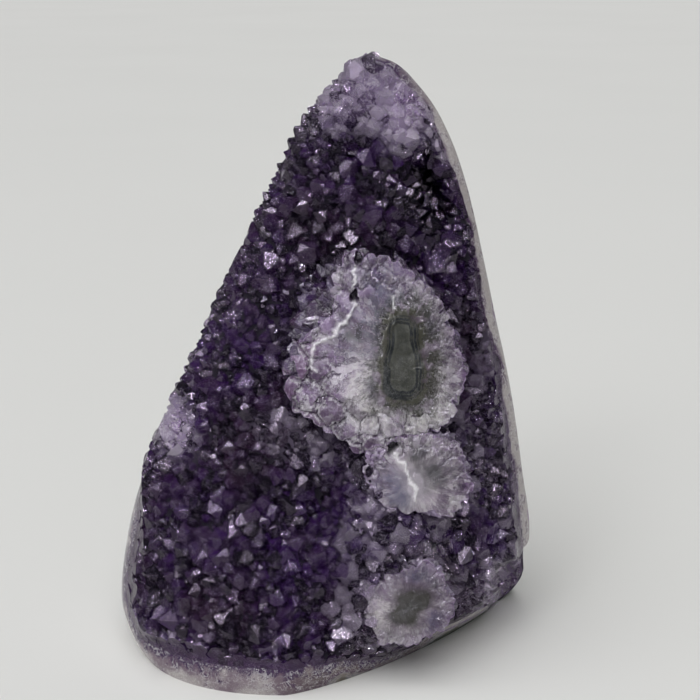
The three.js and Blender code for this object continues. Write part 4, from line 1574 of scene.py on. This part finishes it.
class CLUSTER_OT_druse(bpy.types.Operator):
    """Grow the druse of violet points on the front of the block"""

    bl_idname = "cluster.druse"
    bl_label = "Druse"
    bl_options = {"REGISTER", "UNDO"}

    def execute(self, context):
        """Grow the points, then lay their paleness over them."""
        sizes = context.scene.cluster_sizes
        outline = link("outline", outline_mesh())
        kinds = crystal_set("violet_point", VIOLET_ROOT, 3)
        inputs = {
            "Points": kinds,
            "Outline": outline,
            "Finish": amethyst_finish(context.scene.cluster_colours, shared_effects()),
            "Spacing": sizes.spacing,
            "Width": sizes.width,
            "Fine Spacing": sizes.fine_spacing,
            "Fine Width": sizes.fine_width,
            "Smallest": SMALLEST,
            "Lean": sizes.lean,
            "Rise": sizes.rise,
            "Kinds": KINDS - 1,
            "Seed": sizes.seed,
        }
        druse = grown(bed_mesh(), druse_tree(), inputs, "druse")
        bpy.data.objects.remove(outline)
        discard(kinds)
        centres = face_centres(druse.data)
        put(druse.data, "pale", paleness(centres[:, 0], centres[:, 2]), "FACE")
        finished(druse)
        return {"FINISHED"}


# Shares of the crystals' reach: the heart that their roots grow in, and the piece for the core.
HEART_SHARE, CORE_SHARE = 0.86, 0.62
# How far the core piece lies behind the ground ends of the points, and its eye before them.
CORE_SUNK, EYE_PROUD = 0.5, 0.05


class CLUSTER_OT_stalactites(bpy.types.Operator):
    """Make the three stalactites, ground across to show their cores"""

    bl_idname = "cluster.stalactites"
    bl_label = "Stalactites"
    bl_options = {"REGISTER", "UNDO"}

    def execute(self, context):
        """Make each stalactite's points and its core."""
        colours = context.scene.cluster_colours
        shared = shared_effects()
        kinds = crystal_set("pale_point", PALE_ROOT, 4)
        tree = radiating_tree()
        for name, form in STALACTITES.items():
            grinding = link("grinding", grinding_mesh(form))
            heart = link("heart", heart_mesh("heart", form, HEART_SHARE))
            inputs = {
                "Points": kinds,
                "Heart": heart,
                "Grinding": grinding,
                "Finish": points_finish(name, form, colours, shared),
                "Kinds": KINDS - 1,
                "Seed": form["seed"],
            }
            finished(grown(places_mesh(form), tree, inputs, f"{name}_stalactite_points"))
            bpy.data.objects.remove(grinding)
            bpy.data.objects.remove(heart)
            core = heart_mesh("core", form, CORE_SHARE)
            mesh = cut(core, grinding_mesh(form, CORE_SUNK, EYE_PROUD), "INTERSECT")
            finish = core_finish(name, form, colours, shared)
            polished_piece(f"{name}_stalactite_core", mesh, finish)
        discard(kinds)
        return {"FINISHED"}


def area_light(name, place, size, power, colour=(1, 1, 1), aim=(0, 0, 0.08)):
    """A square or oblong lamp that faces the cluster."""
    lamp = bpy.data.lights.new(name, "AREA")
    lamp.energy, lamp.color = power, colour
    if isinstance(size, tuple):
        lamp.shape, lamp.size, lamp.size_y = "RECTANGLE", *size
    else:
        lamp.size = size
    holder = link(name, lamp)
    holder.location = place
    holder.rotation_euler = (Vector(place) - Vector(aim)).to_track_quat("Z", "Y").to_euler()
    return holder


# Lamps that only show as reflections in the facets: name, place, size and power.
SHINE = (
    ("window", (0.7, -0.55, 0.8), 0.33, 4.2),
    ("ceiling", (-0.1, -0.6, 1.2), 0.4, 5.5),
    ("side", (-0.9, -0.3, 0.5), 0.33, 4.2),
    ("strip", (-0.2, -0.8, 0.17), (0.012, 0.4), 1.5),
    ("spark_left", (-0.33, -0.72, 0.5), 0.07, 3.0),
    ("spark_right", (0.35, -0.6, 0.75), 0.07, 3.0),
    ("spark_high", (-0.05, -0.35, 1.1), 0.08, 3.5),
    ("spark_low", (-0.7, -0.75, 0.25), 0.06, 2.5),
    ("spark_front", (0.15, -0.95, 0.45), 0.05, 2.0),
)

# The camera: what it looks at and from how far, how steeply down, and through what lens.
VIEW = {
    "target": (2.3, -5.6, 77.3),
    "distance": 316.2,
    "elevation": math.radians(20),
    "lens": 60.8,
    "shift": (0.0171, 0.05),
}


SKY = {"power": 2.2, "spread": math.radians(70), "turn": (math.radians(16), math.radians(-12), 0)}
ROOM = {"colour": (0.97, 0.98, 1, 1), "as_light": 0.12, "as_background": 0.62}
FLOOR_REACH = 8  # metres from the middle of the floor to its edges


def make_floor():
    """The floor that the cluster stands on."""
    far = FLOOR_REACH
    corners = [(-far, -far, 0), (far, -far, 0), (far, far, 0), (-far, far, 0)]
    mesh = plain_mesh("floor", corners, [(0, 1, 2, 3)])
    mesh.materials.append(floor_finish())
    link("floor", mesh)


def make_surroundings():
    """A plain pale room, dimmer as a light than as a background."""
    world = bpy.data.worlds.new("studio")
    world.use_nodes = True
    nodes, links = world.node_tree.nodes, world.node_tree.links
    background = nodes["Background"]
    background.inputs["Color"].default_value = ROOM["colour"]
    seen = nodes.new("ShaderNodeLightPath").outputs["Is Camera Ray"]
    strength = nodes.new("ShaderNodeMapRange")
    strength.inputs["To Min"].default_value = ROOM["as_light"]
    strength.inputs["To Max"].default_value = ROOM["as_background"]
    links.new(seen, strength.inputs["Value"])
    links.new(strength.outputs[0], background.inputs["Strength"])
    bpy.context.scene.world = world


def make_lights():
    """A broad soft light from above, one from the front left, and lamps that only facets show."""
    sky = bpy.data.lights.new("sky", "SUN")
    sky.energy, sky.angle = SKY["power"], SKY["spread"]
    holder = link("sky", sky)
    holder.visible_glossy = False
    holder.rotation_euler = SKY["turn"]
    area_light("soft", (-0.6, -0.8, 0.9), 0.4, 1.6)
    for name, place, size, power in SHINE:
        area_light(name, place, size, power).visible_diffuse = False


def make_camera():
    """The camera, looking down a little at the front."""
    lens = bpy.data.cameras.new("camera")
    lens.sensor_width, lens.lens = 36, VIEW["lens"]
    lens.shift_x, lens.shift_y = VIEW["shift"]
    camera = link("camera", lens)
    down = VIEW["elevation"]
    away = Vector((0, -math.cos(down), math.sin(down)))
    camera.location = (Vector(VIEW["target"]) + away * VIEW["distance"]) * MM
    camera.rotation_euler = (math.pi / 2 - down, 0, 0)
    bpy.context.scene.camera = camera


class CLUSTER_OT_stage(bpy.types.Operator):
    """Make the floor, the lights and the camera"""

    bl_idname = "cluster.stage"
    bl_label = "Stage"
    bl_options = {"REGISTER", "UNDO"}

    def execute(self, context):
        """Make everything that stands about the cluster."""
        make_floor()
        make_surroundings()
        make_lights()
        make_camera()
        context.scene.view_settings.view_transform = "Standard"
        cycles = context.scene.cycles
        cycles.max_bounces, cycles.transmission_bounces = 12, 10
        cycles.sample_clamp_indirect = 6
        return {"FINISHED"}


class CLUSTER_PT_panel(bpy.types.Panel):
    """The cluster's sizes, colours and pieces"""

    bl_label = "Amethyst cluster"
    bl_space_type = "VIEW_3D"
    bl_region_type = "UI"
    bl_category = "Cluster"

    def draw(self, context):
        """List the sizes and colours, and a button for each operator."""
        for group in (context.scene.cluster_sizes, context.scene.cluster_colours):
            box = self.layout.box()
            for name in group.bl_rna.properties.keys():
                if name not in ("name", "rna_type"):
                    box.prop(group, name)
        for operator in OPERATORS:
            self.layout.operator(operator.bl_idname)


OPERATORS = (CLUSTER_OT_wall, CLUSTER_OT_druse, CLUSTER_OT_stalactites, CLUSTER_OT_stage)
CLASSES = (ClusterSizes, ClusterColours, *OPERATORS, CLUSTER_PT_panel)


def register():
    """Tell Blender about the properties, operators and panel."""
    for cls in CLASSES:
        bpy.utils.register_class(cls)
    bpy.types.Scene.cluster_sizes = PointerProperty(type=ClusterSizes)
    bpy.types.Scene.cluster_colours = PointerProperty(type=ClusterColours)


def unregister():
    """Take them away again."""
    del bpy.types.Scene.cluster_colours
    del bpy.types.Scene.cluster_sizes
    for cls in reversed(CLASSES):
        bpy.utils.unregister_class(cls)


def main():
    """Build every piece in order."""
    register()
    bpy.ops.cluster.wall()
    bpy.ops.cluster.druse()
    bpy.ops.cluster.stalactites()
    bpy.ops.cluster.stage()


if __name__ == "__main__":
    main()
